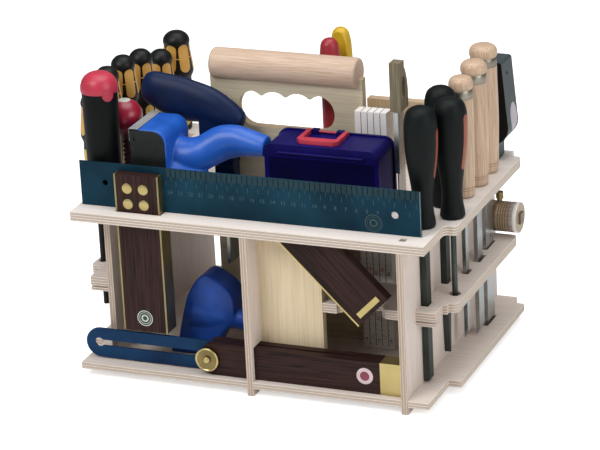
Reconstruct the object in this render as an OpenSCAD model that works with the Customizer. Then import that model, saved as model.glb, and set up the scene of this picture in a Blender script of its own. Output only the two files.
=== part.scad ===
// Tool storage caddy: a plywood carrier with its set of hand tools.
// Origin on the floor, under the middle of the plates. +X right, +Y back, +Z up. Millimetres.

/* [Plates] */
// Width of the deck and of the base plate between their side bumps
plate_w = 342; // [320:1:380]
// Depth of the plates, front to back
plate_d = 256; // [240:1:280]
// How far each side bump stands out
bump_out = 12; // [6:1:18]
// Front edge to the start of the side bump
bump_front = 54; // [45:1:70]
// End of the side bump to the rear edge
bump_rear = 14; // [8:1:30]
// Thickness of the deck
deck_t = 9; // [6:0.5:12]
// Height of the deck's top face over the floor
deck_top = 163.5; // [150:0.5:190]
// Thickness of the middle shelves
shelf_t = 9; // [6:0.5:12]
// Height of the middle shelves' top face
shelf_top = 89; // [70:1:110]
// Thickness of the base plate
base_t = 6.5; // [5:0.5:10]
// Gap under the base plate, the height of the feet
foot_h = 7.5; // [4:0.5:15]

/* [Uprights] */
// Thickness of the three uprights
upright_t = 6; // [5:0.2:9]
// Middle plane of the side uprights, from the centre
side_x = 147.9; // [140:0.1:155]
// Middle plane of the middle upright, from the centre
mid_x = -1.2; // [-10:0.1:10]
// How far the left upright's front edge is set back
left_setback = 26; // [0:1:40]
// Depth of each foot, front to back
foot_d = 26.5; // [20:0.5:40]

/* [Handle] */
// Width of the handle board
board_w = 150; // [120:1:180]
// Thickness of the handle board
board_t = 9; // [6:0.5:12]
// Middle plane of the handle board, front to back
board_y = -5.5; // [-20:0.5:20]
// Top edge of the handle board
board_top = 271; // [240:1:300]
// Diameter of the round wooden grip
dowel_d = 28.5; // [24:0.5:32]
// Length of the round wooden grip
dowel_len = 144; // [120:1:170]
// Height of the grip's axis
dowel_z = 275.5; // [250:0.5:300]
// Width of the hand hole
hole_w = 95.5; // [85:0.5:110]
// Height of the hand hole
hole_h = 34.5; // [28:0.5:36]
// Radius of each finger lobe along the hand hole's top
lobe_r = 15.6; // [13:0.1:18]
// Number of finger lobes
lobes = 4; // [3:1:5]

/* [Try square] */
// Blade length
square_blade_len = 330; // [250:5:350]
// Blade height
square_blade_h = 42.4; // [35:0.1:50]
// Blade thickness
square_blade_t = 1.6; // [1:0.1:3]
// Stock width
square_stock_w = 44; // [35:1:50]
// Stock length
square_stock_len = 153; // [120:1:160]
// Stock thickness
square_stock_t = 19; // [14:0.5:20]
// Diameter of the brass rivets
rivet_d = 10; // [6:0.5:11]

/* [Sliding bevel] */
// Stock height
bevel_stock_h = 30.7; // [24:0.1:32]
// Stock thickness
bevel_stock_t = 17.6; // [14:0.1:18]
// Stock length with its end cap
bevel_stock_len = 198; // [160:1:200]
// Blade length
bevel_blade_len = 203; // [160:1:210]
// Blade height
bevel_blade_h = 28.6; // [22:0.1:30]
// Diameter of the brass thumb screw's head
bevel_head_d = 22; // [16:0.5:24]

/* [Mitre square] */
// Stock width
mitre_stock_w = 41.4; // [35:0.1:45]
// Stock thickness
mitre_stock_t = 10.2; // [8:0.1:10.4]
// Blade width
mitre_blade_w = 30; // [20:1:35]

/* [Fits] */
// Gap between a resting tool and its seat
seat_gap = 0.3; // [0.2:0.05:0.5]
// Gap around a tool's shank or stock in its slot
slot_gap = 0.8; // [0.5:0.1:1.5]
// Gap in the plywood joints
joint_gap = 0.15; // [0.1:0.05:0.3]

/* [Hidden] */
$fn = 64;

birch = "#e6d3bd";
birch_edge = "#d9c1a4";
rosewood = "#4a3330";
brass = "#c9a24a";
blued = "#1d3f52";
steel = "#8e9598";
rubber = "#1d2526";
beech = "#dfc09c";

base_top = foot_h + base_t;
deck_low = deck_top - deck_t;
shelf_low = shelf_top - shelf_t;
rest_z = deck_top + seat_gap;
front_y = -plate_d / 2;
back_y = plate_d / 2;
side_in = side_x - upright_t / 2;
side_out = side_x + upright_t / 2;
mid_right = mid_x + upright_t / 2;
board_front = board_y - board_t / 2;
board_back = board_y + board_t / 2;
board_left = mid_x - board_w / 2;
board_right = mid_x + board_w / 2;
lap_z = (base_top + deck_low) / 2;
left_front = front_y + left_setback;

// sliding bevel, lying on the base plate
bevel_y = front_y + 15;
bevel_z = base_top + seat_gap + bevel_stock_h / 2;
bevel_right = side_in - seat_gap;
bevel_left = bevel_right - bevel_stock_len;
bevel_cap_len = 21.4;
bevel_pivot_x = bevel_left + 9;
bevel_slot_t = 3;
bevel_blade_t = 2.4;
bevel_slot_w = 6;
bevel_blade_left = -171;
bevel_travel = 60;
bevel_slot_end = bevel_blade_left + bevel_blade_len + bevel_travel + 4;

// try square: the blade's plane is square_y; the stock hangs through the deck
// and ends over the bevel
square_y = -106.5;
square_x = -168;
square_stock_x = -130;
square_stock_low = max(200 - square_stock_len, bevel_z + bevel_stock_h / 2 + 2);
square_stock_top = square_stock_low + square_stock_len;

// panel that closes the left part of the right bay
panel_front = front_y + 25;
panel_t = 8;
panel_right = 63;

// mitre square: its stock hangs at 45 degrees in front of the panel
mitre_back = panel_front - 0.8;
mitre_front = mitre_back - mitre_stock_t;
mitre_end = [115.9, 89.2];
mitre_blade_t = 1.4;
mitre_strip = 1.5;
mitre_blade_x = 58;
mitre_blade_top = deck_top + 38;

// tools that stand on the deck at the right: x, y
file_a = [154.4, -80];
file_b = [154.1, -25.5];
file_c = [171.5, -50.8];
chisel_xy = [[164, 2], [165.3, 34.6], [162.8, 69.7]];
chisel_len = [114.2, 119, 123.1];
chisel_r = [11.2, 12.2, 13];
chisel_blade_w = [8, 14, 20];
chisel_blade_t = 3.6;
chisel_tip = [25, 16.5, 4];

// screwdrivers at the left: x, y, grip length, grip size over the small ones
driver_at = [[-174.6, -60, 91.5, 0.93], [-172, -30, 107.5, 1], [-170, 1, 109, 1],
             [-169, 38, 103.5, 1], [-169, 82, 89.5, 1], [-165, 111.5, 99.5, 1.15]];
driver_shank_r = 2.9;

ratchet_at = [-154, -83.5];
ratchet_h = 103;
awl_at = [-146.2, -49.8];
awl_seat = 6;
case_x = [-1.4, 108.8];
case_y = [-68, -26];
case_h = 60.4;
case_lid_h = 7.4;
case_wall = 2.2;
case_r = 9;
case_rim = 1.4;
case_hinge = [case_y[0] - 1.3, rest_z + case_h - case_lid_h - 0.15];
bail_w = 40;
bail_d = 31;
bail_t = 3.8;
bail_pin_d = 2.3;
bail_x = 28;
bail_pivot_y = case_y[1] - 6.5;
bail_pivot_z = rest_z + case_h + 0.3 + bail_t / 2;
rule_x = 71;
rule_y = [-24.2, -10.8];
rule_top = 245.8;
rule_leaf = 5.9;
rule_leaves_n = 5;
saw_x = 117;
saw_y = [-40, -22];
tote_low = 254;
tote_h = 45.5;
// shaver head: side faces, front and back faces, top
shaver_x = [-120.4, -85.4];
shaver_head_y = [-96, -44];
shaver_top = 236.5;
shaver_r = 12;
bay_plane_y = -66;
scraper_y = -32;
scraper_x = -53;
gauge_y = back_y - 24;
gauge_z = 106;
gauge_r = 14.4;
gauge_head_x = [side_out + 0.4, side_out + 32.9];
gauge_stem_w = 10;
gauge_screw_x = side_out + 13;
gauge_pin_out = 3;
block_y = [back_y - 31, back_y - 0.5];
knife_blade_x = [162, 164];
knife_blade_y = block_y[0] + 7;
rear_red_at = [31, 22];
rear_yellow_at = [33, 46];
rail_y = 72;
rail_x = [48, 130];

// ---------- helpers ----------

// box from two corners
module span(a, b) {
  translate(a) cube(b - a);
}

// unit direction of the curve at p[i], leaning to the nearer neighbour
function lean(p, i) =
  let (n = len(p) - 1,
       d0 = i > 0 ? p[i] - p[i - 1] : p[1] - p[0],
       d1 = i < n ? p[i + 1] - p[i] : p[n] - p[n - 1],
       l0 = norm(d0), l1 = norm(d1))
  (d0 / l0 * l1 + d1 / l1 * l0) / (l0 + l1);

// Hermite point between p[i] and p[i + 1]
function blend_at(p, i, t) =
  let (a = p[i], b = p[i + 1], s = norm(b - a), u = lean(p, i) * s, v = lean(p, i + 1) * s)
  (2 * t * t * t - 3 * t * t + 1) * a + (t * t * t - 2 * t * t + t) * u
  + (3 * t * t - 2 * t * t * t) * b + (t * t * t - t * t) * v;

// smooth curve through the points of p, with n steps between each two
function smooth(p, n = 4) =
  [for (i = [0 : len(p) - 2]) for (k = [0 : n - 1]) blend_at(p, i, k / n), p[len(p) - 1]];

// turned shape from [radius, height] points, closed on the axis
module turned(profile, n = 4) {
  curve = smooth(profile, n);
  outline = [for (q = curve) [max(q[0], 0), q[1]]];
  rotate_extrude() polygon(concat([[0, curve[0][1]]], outline, [[0, curve[len(curve) - 1][1]]]));
}

// rings of an elliptic section along a path of [x, y, z, half height, half depth]
module swept(path, sides = 24) {
  c = smooth(path, 3);
  n = len(c);
  dir = [for (i = [0 : n - 1])
           let (a = c[max(i - 1, 0)], b = c[min(i + 1, n - 1)],
                d = [b[0] - a[0], b[2] - a[2]]) d / norm(d)];
  pts = [for (i = [0 : n - 1]) for (k = [0 : sides - 1])
           let (w = 360 * k / sides, up = c[i][3] * cos(w), out = c[i][4] * sin(w))
           [c[i][0] - dir[i][1] * up, c[i][1] + out, c[i][2] + dir[i][0] * up]];
  walls = [for (i = [0 : n - 2]) for (k = [0 : sides - 1])
             let (k2 = (k + 1) % sides)
             [i * sides + k, i * sides + k2, (i + 1) * sides + k2, (i + 1) * sides + k]];
  first = [[for (k = [sides - 1 : -1 : 0]) k]];
  last = [[for (k = [0 : sides - 1]) (n - 1) * sides + k]];
  polyhedron(pts, concat(walls, first, last), convexity = 4);
}

// bump on the right edge, with a round corner and an ogee into the straight edge
module bump_2d(half_w, y0, y1, out, r = 4.5) {
  translate([half_w - 1, y0]) square([out + 1 - r, y1 - y0]);
  translate([half_w - 1, y0 + r]) square([out + 1, y1 - y0 - 2 * r]);
  for (y = [y0 + r, y1 - r]) translate([half_w + out - r, y]) circle(r);
  translate([half_w, y0 - r]) difference() {
    square([r, r + 0.01]);
    translate([r, 0]) circle(r);
  }
}

// outline that the deck and the base plate share
module plate_2d(ogee) {
  half = plate_w / 2;
  difference() {
    union() {
      square([plate_w, plate_d], center = true);
      for (m = [0, 1]) mirror([m, 0])
        bump_2d(half, front_y + bump_front, back_y - bump_rear, bump_out, ogee);
    }
    for (m = [0, 1]) mirror([m, 0])
      translate([half + bump_out, back_y - 2]) circle(bump_rear - 2);
  }
}

module at_xy(p, z) {
  translate([p[0], p[1], z]) children();
}

// ---------- plywood carrier ----------

module deck() {
  color(birch) difference() {
    translate([0, 0, deck_low]) linear_extrude(deck_t) plate_2d(4.5);
    translate([0, 0, deck_low - 1]) linear_extrude(deck_t + 2) deck_cuts_2d();
    at_xy(awl_at, deck_top - awl_seat) cylinder(r = 4, h = awl_seat + 1);
    at_xy(ratchet_at, deck_top - awl_seat) cylinder(r = 4, h = awl_seat + 1);
  }
}

module slot_2d(x0, x1, y0, y1, gap = slot_gap) {
  translate([x0 - gap, y0 - gap]) square([x1 - x0 + 2 * gap, y1 - y0 + 2 * gap]);
}

module deck_cuts_2d() {
  // handle board, rear tenons and the open mortise over the right upright's front
  slot_2d(board_left, board_right, board_front, board_back, joint_gap);
  for (x = [-side_x, mid_x, side_x])
    slot_2d(x - upright_t / 2, x + upright_t / 2, 88, 98, joint_gap);
  slot_2d(side_in, side_out, front_y + 8, front_y + 15, joint_gap);
  slot_2d(rail_x[0] + 15, rail_x[1] - 15, rail_y - 4.5, rail_y + 4.5, joint_gap);
  // try square stock and mitre square blade
  slot_2d(square_stock_x, square_stock_x + square_stock_w,
          square_y - square_stock_t / 2, square_y + square_stock_t / 2);
  slot_2d(mitre_blade_x, mitre_blade_x + mitre_blade_w, mitre_back - mitre_blade_t, mitre_back);
  // flat tools
  slot_2d(rule_x, rule_x + rule_leaves_n * 6.1, rule_y[0], rule_y[1]);
  slot_2d(saw_x - 0.6, saw_x + 0.6, saw_y[0], saw_y[1]);
  slot_2d(scraper_x - 1.5, scraper_x + 1.5, scraper_y - 10, scraper_y + 10);
  slot_2d(file_a[0] - 2.8, file_a[0] + 2.8, file_a[1] - 5.5, file_a[1] + 5.5);
  slot_2d(file_b[0] - 2.8, file_b[0] + 2.8, file_b[1] - 5, file_b[1] + 5);
  for (i = [0 : 2])
    slot_2d(chisel_xy[i][0] - chisel_blade_t / 2, chisel_xy[i][0] + chisel_blade_t / 2,
            chisel_xy[i][1] - chisel_blade_w[i] / 2, chisel_xy[i][1] + chisel_blade_w[i] / 2);
  slot_2d(knife_blade_x[0], knife_blade_x[1], knife_blade_y, knife_blade_y + 12);
  // round shanks
  translate(file_c) circle(2.6 + slot_gap);
  for (d = driver_at) translate([d[0], d[1]]) circle(driver_shank_r * d[3] + slot_gap);
  for (p = [rear_red_at, rear_yellow_at]) translate(p) circle(3 + slot_gap);
}

module base_plate() {
  color(birch) translate([0, 0, foot_h]) linear_extrude(base_t) difference() {
    plate_2d(1.2);
    for (x = [mid_x, side_x]) {
      slot_2d(x - upright_t / 2, x + upright_t / 2, front_y - 5, front_y + foot_d + 1, joint_gap);
      slot_2d(x - upright_t / 2, x + upright_t / 2, back_y - foot_d, back_y + 5, joint_gap);
    }
    slot_2d(-side_out, -side_in, left_front, left_front + foot_d, joint_gap);
    slot_2d(-side_out, -side_in, back_y - foot_d, back_y + 5, joint_gap);
    // slot under the widest chisel
    slot_2d(chisel_xy[2][0] - 2.6, chisel_xy[2][0] + 2.6, 54, 79);
  }
}

// side view of an upright: panel, feet and top tenon
module upright_2d(y0, tenon_h = deck_t) {
  translate([y0, base_top]) square([back_y - y0, deck_low - base_top]);
  translate([y0, 0]) square([foot_d, base_top + 1]);
  translate([back_y - foot_d, 0]) square([foot_d, base_top + 1]);
  translate([88, deck_low - 1]) square([10, tenon_h + 1]);
}

module upright(x) {
  translate([x - upright_t / 2, 0, 0]) rotate([90, 0, 90]) linear_extrude(upright_t) children();
}

module mortise_2d(y0, y1, z0, z1, gap = joint_gap) {
  translate([y0 - gap, z0 - gap]) square([y1 - y0 + 2 * gap, z1 - z0 + 2 * gap]);
}

module upright_left() {
  color(birch) upright(-side_x) difference() {
    upright_2d(left_front);
    shelf_mortises_2d();
  }
}

module upright_middle() {
  color(birch) upright(mid_x) difference() {
    upright_2d(front_y);
    // window for the bevel's stock, behind a thin front strip
    translate([bevel_y - bevel_stock_t / 2 - slot_gap, base_top - 0.01])
      square([bevel_stock_t + 2 * slot_gap, bevel_stock_h + seat_gap + slot_gap]);
    // half lap with the handle board
    translate([board_front - joint_gap, lap_z]) square([board_t + 2 * joint_gap, deck_low]);
  }
}

module upright_right() {
  color(birch) upright(side_x) difference() {
    upright_2d(front_y);
    shelf_mortises_2d();
    mortise_2d(gauge_y - gauge_stem_w / 2, gauge_y + gauge_stem_w / 2,
               gauge_z - gauge_stem_w / 2, gauge_z + gauge_stem_w / 2, 0.5);
    // notch that lets the marking pin through
    mortise_2d(gauge_y - gauge_stem_w / 2 - gauge_pin_out, gauge_y, gauge_z - 1, gauge_z + 1, 0.6);
  }
}

module shelf_mortises_2d() {
  for (y = [[-70, -46], [45, 58]]) mortise_2d(y[0], y[1], shelf_low, shelf_top);
}

// outer shelf at the right, mirrored for the left
module side_shelf() {
  lip = 3;
  groove = 1.6;
  difference() {
    union() {
      translate([0, 0, shelf_low]) linear_extrude(shelf_t) side_shelf_2d();
      // thin ledge under the front edge, with a groove between
      span([side_out, front_y + 28.3, shelf_low - groove - lip],
           [plate_w / 2 - 1.6, front_y + 40, shelf_low]);
    }
    span([side_out - 1, front_y + 27, shelf_low - groove],
         [plate_w / 2 + 1, front_y + 34, shelf_low]);
    for (p = [[file_a, 5.5], [file_b, 5]])
      translate([0, 0, shelf_low - 10]) linear_extrude(shelf_t + 20)
        slot_2d(side_out - 1, p[0][0] + 2.8, p[0][1] - p[1], p[0][1] + p[1]);
  }
}

module side_shelf_2d() {
  edge = plate_w / 2 - 1.6;
  y0 = front_y + 28.3;
  y1 = back_y - 26;
  r = 8;
  translate([side_out, y0]) square([edge - side_out, y1 - y0 - r]);
  translate([side_out, y0]) square([edge + bump_out - side_out - r, y1 - y0 - 0.01]);
  bump_2d(edge, y0 + 26, y1, bump_out, 5);
  for (y = [[-70, -46], [45, 58]])
    translate([side_in, y[0]]) square([upright_t + 0.01, y[1] - y[0]]);
}

module shelf_right() {
  color(birch) difference() {
    side_shelf();
    // corner in front of the bump
    span([plate_w / 2 - 1.6, front_y, 0], [plate_w, front_y + 49, deck_top]);
    translate([0, 0, shelf_low - 1]) linear_extrude(shelf_t + 2) {
      translate(file_c) circle(5.4);
      slot_2d(161.4, 167.2, -3, 8);
      slot_2d(162.6, 168.4, 28, 45);
      slot_2d(160.6, 165, 59, 83);
    }
  }
}

module shelf_left() {
  color(birch) difference() {
    mirror([1, 0, 0]) side_shelf();
    mirror([1, 0, 0]) span([plate_w / 2 - 1.6, front_y, 0], [plate_w, front_y + 49, deck_top]);
    translate([0, 0, shelf_low - 1]) linear_extrude(shelf_t + 2)
      for (d = driver_at) translate([d[0], d[1]]) circle(driver_shank_r * d[3] + 1.6);
  }
}

module shelf_inner() {
  color(birch) translate([0, 0, shelf_low]) linear_extrude(shelf_t) difference() {
    union() {
      translate([mid_right, panel_front + panel_t])
        square([side_in - mid_right, -43 - panel_front - panel_t]);
      translate([panel_right + joint_gap, panel_front])
        square([side_in - panel_right - joint_gap, panel_t + 1]);
    }
    // dip in the front edge for the mitre square's lower end
    translate([81, panel_front - 1]) square([38, 17]);
    for (x = [81, 119]) translate([x, panel_front]) circle(4);
  }
}

module handle_board() {
  color(birch) translate([0, board_back, 0]) rotate([90, 0, 0]) linear_extrude(board_t)
    difference() {
      translate([board_left, base_top]) square([board_w, board_top - base_top]);
      hand_hole_2d();
      translate([mid_x - upright_t / 2 - joint_gap, base_top - 1])
        square([upright_t + 2 * joint_gap, lap_z - base_top + 1]);
    }
}

// hand hole: a round-ended slot whose top edge runs in shallow finger lobes
module hand_hole_2d() {
  low = deck_top + 54.2;
  end_r = hole_h / 2;
  pitch = (hole_w - 24) / (lobes - 1);
  r = max(lobe_r, pitch / 2 + 2);
  lobe_z = low + hole_h - r;
  // rounded tip of the wood between two lobes
  tip_r = 3;
  tip_z = sqrt(pow(r + tip_r, 2) - pow(pitch / 2, 2));
  share = r / (r + tip_r);
  translate([mid_x - 0.6, 0]) intersection() {
    union() {
      for (s = [-1, 1]) translate([s * (hole_w / 2 - end_r), low + end_r]) circle(end_r);
      translate([end_r - hole_w / 2, low]) square([hole_w - 2 * end_r, hole_h]);
    }
    union() {
      translate([-hole_w, low]) square([2 * hole_w, hole_h - 8]);
      for (i = [0 : lobes - 1])
        translate([(i - (lobes - 1) / 2) * pitch, lobe_z]) circle(r);
      for (i = [0 : lobes - 2]) translate([(i - lobes / 2 + 1) * pitch, lobe_z]) difference() {
        polygon([[-pitch / 2 * (1 - share), tip_z * share], [0, 0],
                 [pitch / 2 * (1 - share), tip_z * share]]);
        translate([0, tip_z]) circle(tip_r);
      }
    }
  }
}

module handle_grip() {
  e = 3;
  r = dowel_d / 2;
  color(beech) difference() {
    translate([mid_x - 0.8 - dowel_len / 2, board_y, dowel_z]) rotate([0, 90, 0])
      rotate_extrude($fn = 96) {
        translate([0, e]) square([r, dowel_len - 2 * e]);
        square([r - e, dowel_len]);
        intersection() {
          square([r, dowel_len]);
          for (z = [e, dowel_len - e]) translate([r - e, z]) circle(e, $fn = 32);
        }
      }
    // groove that takes the board's top edge
    span([-plate_w, board_front - joint_gap, dowel_z - r - 1],
         [plate_w, board_back + joint_gap, board_top + joint_gap]);
  }
}

module bay_panel() {
  color(birch) span([mid_right, panel_front, base_top], [panel_right, panel_front + panel_t, deck_low]);
}

module rear_rail() {
  color(birch) {
    span([rail_x[0], rail_y - 4.5, deck_top], [rail_x[1], rail_y + 4.5, deck_top + 62.5]);
    span([rail_x[0] + 15, rail_y - 4.5, deck_low], [rail_x[1] - 15, rail_y + 4.5, deck_top]);
  }
}

// ---------- try square ----------

module square_stock() {
  y0 = square_y - square_stock_t / 2;
  edge = 1.6;
  color(rosewood) difference() {
    span([square_stock_x + edge, y0, square_stock_low],
         [square_stock_x + square_stock_w - edge, y0 + square_stock_t, square_stock_top]);
    span([square_x, square_y - square_blade_t / 2, rest_z],
         [square_x + square_blade_len, square_y + square_blade_t / 2, rest_z + square_blade_h]);
    for (p = rivet_xz()) translate([p[0], y0 - 1, p[1]]) rotate([-90, 0, 0])
      cylinder(d = rivet_d + 0.1, h = square_stock_t + 2);
  }
}

// rivets in a two by two pattern through the stock and the blade
function rivet_xz() = [for (x = [12.7, 28.6]) for (z = [7.8, 22.8]) [square_stock_x + x, rest_z + z]];

module square_brass() {
  y0 = square_y - square_stock_t / 2;
  color(brass) {
    difference() {
      for (x = [square_stock_x, square_stock_x + square_stock_w - 1.6])
        span([x, y0, square_stock_low], [x + 1.6, y0 + square_stock_t, square_stock_top]);
      span([square_x, square_y - square_blade_t / 2, rest_z],
           [square_x + square_blade_len, square_y + square_blade_t / 2, rest_z + square_blade_h]);
    }
    for (p = rivet_xz()) translate([p[0], y0 - 0.3, p[1]]) rotate([-90, 0, 0])
      cylinder(d = rivet_d, h = square_stock_t + 0.6);
  }
}

module square_blade() {
  color(blued) difference() {
    span([square_x, square_y - square_blade_t / 2, rest_z],
         [square_x + square_blade_len, square_y + square_blade_t / 2, rest_z + square_blade_h]);
    for (p = rivet_xz()) translate([p[0], square_y - 2, p[1]]) rotate([-90, 0, 0])
      cylinder(d = rivet_d + 0.1, h = 4);
    // hanging hole near the free end, small hole left of the stock
    translate([square_x + square_blade_len - 24.5, square_y - 2, rest_z + 18.2]) rotate([-90, 0, 0])
      cylinder(d = 7, h = 4);
    translate([square_x + 24.9, square_y - 2, rest_z + 23]) rotate([-90, 0, 0])
      cylinder(d = 5.5, h = 4);
  }
}

// ---------- mitre square ----------

// front outline of a 45 degree bar, cut level under the deck, between two distances
// from the stock's lower left side
module mitre_bar_2d(d0, d1) {
  top = deck_low - seat_gap;
  corner = mitre_end - [1, 1] * mitre_stock_w / 2 * sqrt(0.5);
  sum0 = corner[0] + corner[1] + d0 * sqrt(2);
  sum1 = corner[0] + corner[1] + d1 * sqrt(2);
  polygon([corner + [d0, d0] * sqrt(0.5), corner + [d1, d1] * sqrt(0.5),
           [sum1 - top, top], [sum0 - top, top]]);
}

module in_xz(y0, y1) {
  translate([0, y1, 0]) rotate([90, 0, 0]) linear_extrude(y1 - y0) children();
}

module mitre_stock() {
  color(rosewood) difference() {
    in_xz(mitre_front, mitre_back) mitre_bar_2d(mitre_strip, mitre_stock_w);
    in_xz(mitre_back - mitre_blade_t, mitre_back + 1) mitre_blade_2d();
    in_xz(mitre_front - 1, mitre_front + 0.8) mitre_tab_2d();
  }
}

// bare brass plate let into the front face near the lower end
module mitre_tab_2d() {
  translate(mitre_end) rotate(-45) translate([-9.5, -13]) square([5.4, 27]);
}

module mitre_brass() {
  color(brass) {
    // wear strip along the lower edge
    in_xz(mitre_front, mitre_back) mitre_bar_2d(0, mitre_strip);
    in_xz(mitre_front - 0.2, mitre_front + 0.8) mitre_tab_2d();
  }
}

module mitre_blade_2d() {
  low = 132;
  translate([mitre_blade_x, low]) square([mitre_blade_w, mitre_blade_top - low]);
}

module mitre_blade() {
  color(blued) in_xz(mitre_back - mitre_blade_t, mitre_back) mitre_blade_2d();
}

// ---------- sliding bevel ----------

module bevel_stock() {
  h = bevel_stock_h / 2;
  x1 = bevel_right - bevel_cap_len;
  color(rosewood) difference() {
    in_xz(bevel_y - bevel_stock_t / 2, bevel_y + bevel_stock_t / 2) {
      translate([bevel_left + h, bevel_z]) circle(h);
      translate([bevel_left + h, bevel_z - h]) square([x1 - bevel_left - h, 2 * h]);
    }
    // slot for the blade, open at the round end and along both edges
    span([bevel_left - 1, bevel_y - bevel_slot_t / 2, bevel_z - h - 1],
         [bevel_slot_end, bevel_y + bevel_slot_t / 2, bevel_z + h + 1]);
    translate([bevel_pivot_x, bevel_y - bevel_stock_t, bevel_z]) rotate([-90, 0, 0])
      cylinder(d = 5.1, h = 2 * bevel_stock_t);
  }
}

module bevel_cap() {
  h = bevel_stock_h / 2;
  color(brass) span([bevel_right - bevel_cap_len, bevel_y - bevel_stock_t / 2, bevel_z - h],
                    [bevel_right, bevel_y + bevel_stock_t / 2, bevel_z + h]);
}

module bevel_blade() {
  r = bevel_blade_h / 2;
  x1 = bevel_blade_left + bevel_blade_len;
  color(blued) in_xz(bevel_y - bevel_blade_t / 2, bevel_y + bevel_blade_t / 2) difference() {
    union() {
      translate([bevel_blade_left + r, bevel_z]) circle(r);
      translate([bevel_blade_left + r, bevel_z - r]) square([x1 - bevel_blade_left - r, 2 * r]);
    }
    // long slot with a round eye at its left end
    translate([bevel_blade_left + 13, bevel_z]) circle(4.6);
    translate([bevel_blade_left + 13, bevel_z - bevel_slot_w / 2])
      square([bevel_pivot_x - bevel_blade_left - 10, bevel_slot_w]);
    translate([bevel_pivot_x + 3, bevel_z]) circle(bevel_slot_w / 2);
  }
}

module bevel_screw() {
  y0 = bevel_y - bevel_stock_t / 2;
  color(brass) translate([bevel_pivot_x, 0, bevel_z]) rotate([-90, 0, 0]) {
    translate([0, 0, y0 - 3.3]) cylinder(d = bevel_head_d, h = 3);
    translate([0, 0, y0 - 4.6]) cylinder(d = 8, h = 2);
    translate([0, 0, y0 - 3.3]) cylinder(d = 5, h = bevel_stock_t + 3.6);
  }
}

// ---------- lying tools ----------

// front outline of the shaver's head, drawn in by g, with one round shoulder
module shaver_face_2d(g = 0) {
  r = shaver_r - g / 2;
  x1 = shaver_x[1] - g;
  top = shaver_top - g / 2;
  translate([shaver_x[0], rest_z + g]) square([x1 - r - shaver_x[0], top - rest_z - g]);
  translate([shaver_x[0], rest_z + g]) square([x1 - shaver_x[0], top - r - rest_z - g]);
  translate([x1 - r, top - r]) circle(r);
}

module shaver_body() {
  color("#2a63c4") {
    difference() {
      in_xz(shaver_head_y[0], shaver_head_y[1]) shaver_face_2d();
      // hollow front that holds the cutting plate
      in_xz(shaver_head_y[0] - 1, shaver_head_y[0] + 1.4) shaver_face_2d(1.6);
    }
    // neck that flares out of the head, then the handle
    swept([[-96, -70, 199, 33, 24.2], [-86, -70, 196, 29, 24.4], [-77, -69.5, 195.5, 26.5, 24.6],
           [-66, -67.2, 199.5, 26, 22.4], [-55, -63.4, 208, 22, 18], [-45, -59.4, 215.5, 16.5, 14.6],
           [-34, -57, 220.3, 12.8, 12.6], [-20, -57, 218.5, 13, 12.6], [-11, -57, 216.5, 11.9, 12],
           [-6.8, -57, 215.6, 9.2, 9.6], [-5, -57, 215.2, 5.5, 6]]);
  }
}

module shaver_plate() {
  y = shaver_head_y[0];
  color("#2b2f2e") {
    difference() {
      in_xz(y - 0.2, y + 1.4) shaver_face_2d(1.7);
      translate([shaver_x[0] + 4.7, y - 1, shaver_top - 9]) rotate([-90, 0, 0])
        cylinder(d = 3.6, h = 4);
    }
    // bent edge over the top of the head
    in_xz(y, shaver_head_y[1]) polygon([[shaver_x[0] - 0.6, shaver_top - 12], [shaver_x[0], shaver_top - 12],
      [shaver_x[0], shaver_top], [shaver_x[0] + 8, shaver_top], [shaver_x[0] + 8, shaver_top + 0.6],
      [shaver_x[0] - 0.6, shaver_top + 0.6]]);
  }
}

// small hand plane that stands on the base plate in the left bay
module bay_plane() {
  z = base_top + seat_gap;
  back = smooth([[-95, z], [-92, z + 16], [-88, z + 34], [-84, z + 48], [-81, z + 57],
                 [-73, z + 71], [-63, z + 79], [-50, z + 73], [-39, z + 66], [-34.5, z + 53],
                 [-34.5, z + 38], [-42, z + 27], [-51, z + 17], [-56, z + 8], [-58, z]], 3);
  y = bay_plane_y;
  color("#1d48a8") {
    in_xz(y - 14, y + 14) polygon(back);
    span([-99, y - 17, z], [-52, y + 17, z + 4]);
    swept([[-72, y - 4, z + 33, 12, 10], [-54, y - 4, z + 38, 10, 9.5], [-34, y - 4, z + 36, 8.8, 9],
           [-18, y - 4, z + 31, 8.2, 8.6], [-8.5, y - 4, z + 26, 6.6, 6.6]]);
  }
}

module scraper_grip() {
  y = scraper_y;
  color("#16233f") difference() {
    union() {
      swept([[-134.6, y, 258.4, 8, 3.8], [-133, y, 257.9, 12.5, 6], [-127.4, y, 256.2, 15.6, 9],
             [-119, y, 253.6, 17.6, 11], [-106, y, 249.4, 20, 11.3], [-91, y, 246, 20.5, 11.4],
             [-71, y, 243, 17.8, 11.4], [-56, y, 236.5, 15.6, 11.2], [-45, y, 231, 13, 10.4],
             [-38.6, y, 227.8, 10.4, 8.8], [-36, y, 226.6, 6.4, 5.6]]);
      // holder that stands on the deck round the blade
      span([-77, y - 9, rest_z + 24], [-44, y + 9, 236]);
      span([-64, y - 7, rest_z], [-44, y + 7, rest_z + 25]);
    }
    span([scraper_x - 1.5, y - 5, rest_z - 1], [scraper_x + 1.5, y + 5, 226]);
  }
}

module scraper_blade() {
  color(steel) {
    span([scraper_x - 1.5, scraper_y - 10, 92], [scraper_x + 1.5, scraper_y + 10, rest_z - 1]);
    span([scraper_x - 1.5, scraper_y - 5, rest_z - 2], [scraper_x + 1.5, scraper_y + 5, 226]);
  }
}

// ---------- small case with a lid and a bail ----------

module rounded_box_2d(x0, x1, y0, y1, r) {
  translate([x0 + r, y0]) square([x1 - x0 - 2 * r, y1 - y0]);
  translate([x0, y0 + r]) square([x1 - x0, y1 - y0 - 2 * r]);
  for (x = [x0 + r, x1 - r]) for (y = [y0 + r, y1 - r]) translate([x, y]) circle(r);
}

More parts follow.
